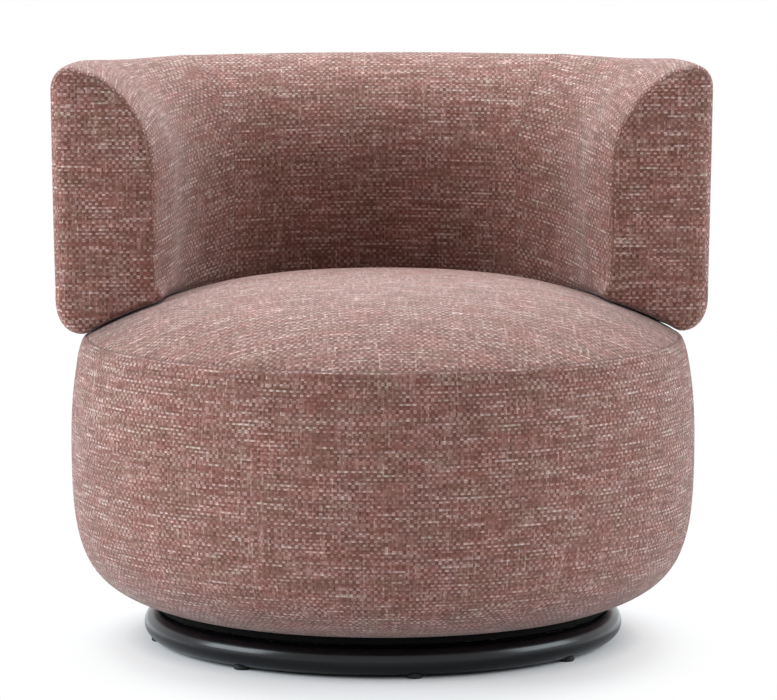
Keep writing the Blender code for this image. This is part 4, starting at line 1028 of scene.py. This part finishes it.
# %% Thread
# Bonded polyester upholstery thread, dyed to the cloth: smooth, with a soft shine. Its twist is drawn 0.6 mm
# long, coarser than the real one, so that it shows.
thread, tree = new_material("bonded_polyester_thread")
place = add_node(tree, "ShaderNodeTexCoord").outputs["Object"]
ply = add_node(tree, "ShaderNodeTexNoise", {"Vector": place, "Scale": 1 / 0.0006, "Detail": 1.0})
shade = set_stops(add_node(tree, "ShaderNodeValToRGB", {0: ply}), (0.35, "#5b3731"), (0.65, "#7a5048"))
finish_material(tree, add_node(tree, "ShaderNodeBsdfPrincipled", {"Base Color": shade, "Roughness": 0.55}))
print("made", thread.name)

# %% Seam lines
STITCH_PITCH, STITCH_LENGTH, THREAD = 0.0042, 0.0030, 0.0005
IN_FOLD = 0.7                   # a seam round an edge lies this share of its fold's depth in, both ways


def seam_lines():
    """Closed and open lines of points along the seams, at the bottom of their folds."""
    turn = np.linspace(0, 2 * math.pi, 400, endpoint=False)
    depth = SEAM_FOLDS["seat_upholstery"][0] * IN_FOLD
    r, z = SEAM_RADIUS - depth, SEAM_HEIGHT - depth
    depth = SEAM_FOLDS["back_upholstery"][0]
    lines = [([(r * math.cos(a), r * math.sin(a), z) for a in turn], True)]
    for degrees in BACK_SEAMS:
        angle = math.radians(degrees)
        outline = back_section(crest_rise(min(angle, math.pi - angle)), depth)
        shown = outline[:sum(SECTION_COUNTS[:3]) + 3]
        lines.append(([(r * math.cos(angle), r * math.sin(angle), z) for r, z in shown], False))
    narrower = ARM_ROLL * (math.cos(ROLL_START) - math.cos(PANEL_SEAM)) + depth * IN_FOLD
    outline = back_section(crest_rise(0), narrower, NOSE_TAPER)
    front = -ARM_EDGE * (math.sin(PANEL_SEAM) - math.sin(ROLL_START)) + depth * IN_FOLD
    for side in (1, -1):
        lines.append(([(side * r, front, z) for r, z in outline[:sum(SECTION_COUNTS[:2])]], False))
    return lines


stitches = empty_piece("seam_stitches")
path_points, path_edges = [], []
for line, closed in seam_lines():
    start = len(path_points)
    path_points.extend(line)
    path_edges.extend((start + k, start + k + 1) for k in range(len(line) - 1))
    if closed:
        path_edges.append((start + len(line) - 1, start))
stitches.data.from_pydata(path_points, path_edges, [])
print("seam lines have", len(path_points), "points")

# %% Lockstitch
stitch_nodes, (_, pitch_id, length_id, thread_id) = node_tree(
    "lockstitch", ("Geometry", "NodeSocketGeometry"), ("Pitch", "NodeSocketFloat"),
    ("Stitch length", "NodeSocketFloat"), ("Thread", "NodeSocketFloat"))
given = add_node(stitch_nodes, "NodeGroupInput").outputs
line = add_node(stitch_nodes, "GeometryNodeMeshToCurve", {"Mesh": given["Geometry"]})
cuts = add_node(stitch_nodes, "GeometryNodeResampleCurve", {"Curve": line, "Length": given["Pitch"]},
                mode="LENGTH")
along_seam = add_node(stitch_nodes, "GeometryNodeInputTangent")
turned = add_node(stitch_nodes, "FunctionNodeAlignRotationToVector", {"Vector": along_seam}, axis="Z")
half = add_node(stitch_nodes, "ShaderNodeMath", {0: given["Thread"], 1: 0.5}, operation="MULTIPLY")
bar = add_node(stitch_nodes, "GeometryNodeMeshUVSphere", {"Segments": 6, "Rings": 6, "Radius": half})
stretch = add_node(stitch_nodes, "ShaderNodeMath", {0: given["Stitch length"], 1: given["Thread"]},
                   operation="DIVIDE")
shape = add_node(stitch_nodes, "ShaderNodeCombineXYZ", {0: 1.0, 1: 1.0, 2: stretch})
bar = add_node(stitch_nodes, "GeometryNodeTransform", {"Geometry": bar, "Scale": shape})
row = add_node(stitch_nodes, "GeometryNodeInstanceOnPoints",
               {"Points": cuts, "Instance": bar, "Rotation": turned})
real = add_node(stitch_nodes, "GeometryNodeRealizeInstances", {0: row})
dyed = add_node(stitch_nodes, "GeometryNodeSetMaterial", {"Geometry": real, "Material": thread})
add_node(stitch_nodes, "NodeGroupOutput", {0: dyed})

# %% Stitches
builder = stitches.modifiers.new("lockstitch", "NODES")
builder.node_group = stitch_nodes
builder[pitch_id] = STITCH_PITCH
builder[length_id] = STITCH_LENGTH
builder[thread_id] = THREAD
make_plain(stitches)
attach(stitches, "seat")

# %% [markdown]
# ## Finishes of the frame's own parts
# Under the cloth are the parts that hold the chair up, and from below some of them show. Their shapes come
# from the CAD model; here each gets the finish of its real material. All of them read Object coordinates,
# which on these parts are metres from the chair's axis on the floor.

# %% Metals
# Zinc-plated steel: bright, slightly blue, with a spangle that clouds its shine.
zinc, tree = new_material("zinc_plated_steel")
place = add_node(tree, "ShaderNodeTexCoord").outputs["Object"]
spangle = add_node(tree, "ShaderNodeTexNoise", {"Vector": place, "Scale": 1 / 0.004, "Detail": 3.0})
tone = set_stops(add_node(tree, "ShaderNodeValToRGB", {0: spangle}), (0.35, "#a9adb3"), (0.65, "#c6c8ca"))
dull = add_node(tree, "ShaderNodeMapRange", {0: spangle, 1: 0.3, 2: 0.7, 3: 0.28, 4: 0.45})
finish_material(tree, add_node(tree, "ShaderNodeBsdfPrincipled", {
    "Base Color": tone, "Metallic": 1.0, "Roughness": dull}))

# Hardened chromium steel balls, lapped to a mirror, with a trace of grease.
ball_steel, tree = new_material("bearing_steel")
place = add_node(tree, "ShaderNodeTexCoord").outputs["Object"]
grease = add_node(tree, "ShaderNodeTexNoise", {"Vector": place, "Scale": 1 / 0.003, "Detail": 2.0})
dull = add_node(tree, "ShaderNodeMapRange", {0: grease, 1: 0.4, 2: 0.7, 3: 0.06, 4: 0.20})
finish_material(tree, add_node(tree, "ShaderNodeBsdfPrincipled", {
    "Base Color": srgb("#c9cacc"), "Metallic": 1.0, "Roughness": dull}))

# Aluminium, turned on a lathe: fine rings round the axis, a third of a millimetre apart.
aluminium, tree = new_material("turned_aluminium")
place = add_node(tree, "ShaderNodeTexCoord").outputs["Object"]
flat = add_node(tree, "ShaderNodeVectorMath", {0: place, 1: (1, 1, 0)}, operation="MULTIPLY")
from_axis = add_node(tree, "ShaderNodeVectorMath", {0: flat}, operation="LENGTH")
groove = add_node(tree, "ShaderNodeMath", {0: from_axis, 1: 2 * math.pi / 0.00033}, operation="MULTIPLY")
groove = add_node(tree, "ShaderNodeMath", {0: groove}, operation="SINE")
bump = add_node(tree, "ShaderNodeBump", {"Strength": 0.3, "Distance": 0.00005, "Height": groove})
finish_material(tree, add_node(tree, "ShaderNodeBsdfPrincipled", {
    "Base Color": srgb("#cfd1d3"), "Metallic": 1.0, "Roughness": 0.32, "Normal": bump}))
print("made", zinc.name, ball_steel.name, aluminium.name)

# %% Plastics and rubber
# Natural nylon 6, moulded: milky, a little translucent, with a fine matt skin.
nylon, tree = new_material("natural_nylon")
place = add_node(tree, "ShaderNodeTexCoord").outputs["Object"]
cloudy = add_node(tree, "ShaderNodeTexNoise", {"Vector": place, "Scale": 1 / 0.010, "Detail": 2.0})
tone = set_stops(add_node(tree, "ShaderNodeValToRGB", {0: cloudy}), (0.35, "#ddd8c8"), (0.65, "#ebe7da"))
finish_material(tree, add_node(tree, "ShaderNodeBsdfPrincipled", {
    "Base Color": tone, "Roughness": 0.42, "Subsurface Weight": 0.2, "Subsurface Scale": 0.002}))

# Black rubber glides, moulded, with a dusty bloom.
rubber, tree = new_material("black_rubber")
place = add_node(tree, "ShaderNodeTexCoord").outputs["Object"]
bloom = add_node(tree, "ShaderNodeTexNoise", {"Vector": place, "Scale": 1 / 0.0015, "Detail": 3.0})
tone = set_stops(add_node(tree, "ShaderNodeValToRGB", {0: bloom}), (0.35, "#121212"), (0.65, "#1d1c1b"))
bump = add_node(tree, "ShaderNodeBump", {"Strength": 0.3, "Distance": 0.0001, "Height": bloom})
finish_material(tree, add_node(tree, "ShaderNodeBsdfPrincipled", {
    "Base Color": tone, "Roughness": 0.75, "Normal": bump}))
print("made", nylon.name, rubber.name)

# %% Woods and boards
PLY = 0.0014                    # a veneer of birch plywood
# Boards are sawn or pressed wood, raw or stained: matt, with a grain along one way, and the plywoods show
# their veneers at the edges. Each has its dark and light colour, its grain along x, y and z in metres, its
# roughness, its specular level, and whether it has plies.
BOARDS = {
    # The black-stained plywood is stained black and darkened further, near black, as painted shade for the
    # gap under the drum.
    "black_stained_plywood": ("#060505", "#0d0b0a", (0.0016, 0.060, 0.0016), 0.80, 0.1, True),
    "birch_plywood": ("#c8a678", "#dfc49a", (0.0022, 0.070, 0.0022), 0.60, 0.5, True),
    "beech": ("#b07f55", "#cfa176", (0.0012, 0.0012, 0.016), 0.50, 0.5, False),
    "hardboard": ("#5a3e2a", "#7a573c", (0.0020, 0.0020, 0.0020), 0.65, 0.5, False),
}
board_materials = {}
for name, (dark, light, grain, rough, gloss, plies) in BOARDS.items():
    board, tree = new_material(name)
    place = add_node(tree, "ShaderNodeTexCoord").outputs["Object"]
    stretched = add_node(tree, "ShaderNodeVectorMath", {0: place, 1: grain}, operation="DIVIDE")
    fibres = add_node(tree, "ShaderNodeTexNoise", {"Vector": stretched, "Scale": 1.0, "Detail": 3.0,
                                                   "Distortion": 0.4})
    tone = set_stops(add_node(tree, "ShaderNodeValToRGB", {0: fibres}), (0.34, dark), (0.66, light))
    if plies:
        up = add_node(tree, "ShaderNodeSeparateXYZ", {0: place}).outputs[2]
        layer = add_node(tree, "ShaderNodeMath", {0: up, 1: math.pi / PLY}, operation="MULTIPLY")
        layer = add_node(tree, "ShaderNodeMath", {0: layer}, operation="SINE")
        facing = add_node(tree, "ShaderNodeNewGeometry").outputs["True Normal"]
        facing = add_node(tree, "ShaderNodeSeparateXYZ", {0: facing}).outputs[2]
        upright = add_node(tree, "ShaderNodeMath", {0: facing}, operation="ABSOLUTE")
        upright = add_node(tree, "ShaderNodeMath", {0: upright, 1: 0.5}, operation="LESS_THAN")
        band = add_node(tree, "ShaderNodeMapRange", {0: layer, 1: -0.2, 2: 0.2, 3: 0.62, 4: 1.0})
        band = add_node(tree, "ShaderNodeMix", {0: upright, 2: 1.0, 3: band})
        tone = add_node(tree, "ShaderNodeVectorMath", {0: tone, 3: band}, operation="SCALE")
    bump = add_node(tree, "ShaderNodeBump", {"Strength": 0.2, "Distance": 0.0002, "Height": fibres})
    finish_material(tree, add_node(tree, "ShaderNodeBsdfPrincipled", {
        "Base Color": tone, "Roughness": rough, "Specular IOR Level": gloss, "Normal": bump}))
    board_materials[name] = board
print("made", *board_materials)

# %% Webbing and foam
# Elastic upholstery webbing: rubber threads lapped with jute-coloured polypropylene, ribbed every 2 mm.
RIB = 2 * math.pi / 0.002
webbing, tree = new_material("elastic_webbing")
place = add_node(tree, "ShaderNodeTexCoord").outputs["Object"]
rib = add_node(tree, "ShaderNodeVectorMath", {0: place, 1: (RIB, RIB, 0)}, operation="MULTIPLY")
rib = add_node(tree, "ShaderNodeVectorMath", {0: rib}, operation="SINE")
rib_xy = add_node(tree, "ShaderNodeSeparateXYZ", {0: rib})
rib = add_node(tree, "ShaderNodeMath", {0: rib_xy.outputs[0], 1: rib_xy.outputs[1]}, operation="MULTIPLY")
tone = set_stops(add_node(tree, "ShaderNodeValToRGB", {0: rib}), (0.1, "#241f1a"), (0.9, "#6a5c48"))
bump = add_node(tree, "ShaderNodeBump", {"Strength": 0.4, "Distance": 0.0003, "Height": rib})
finish_material(tree, add_node(tree, "ShaderNodeBsdfPrincipled", {
    "Base Color": tone, "Roughness": 0.8, "Normal": bump}))

# Flexible polyurethane foam, cut: pale, matt, open cells about a millimetre across.
foam, tree = new_material("polyurethane_foam")
place = add_node(tree, "ShaderNodeTexCoord").outputs["Object"]
cells = add_node(tree, "ShaderNodeTexVoronoi", {"Vector": place, "Scale": 1 / 0.0011})
tone = set_stops(add_node(tree, "ShaderNodeValToRGB", {0: cells}), (0.0, "#b9ad8d"), (0.6, "#e9e0c6"))
finish_material(tree, add_node(tree, "ShaderNodeBsdfPrincipled", {"Base Color": tone, "Roughness": 0.9}))
print("made", webbing.name, foam.name)

# %% Putting the finishes on
finishes = {"black_powder_coat": powder, "zinc_plated_steel": zinc, "bearing_steel": ball_steel,
            "turned_aluminium": aluminium, "natural_nylon": nylon, "black_rubber": rubber,
            "elastic_webbing": webbing, "polyurethane_foam": foam, "terracotta_basket_weave": cloth,
            **board_materials}
for part in frame["record"]["subparts"]:
    mesh = nodes[part["node"]].data
    mesh.materials.clear()
    mesh.materials.append(finishes[part["material_slot"]])
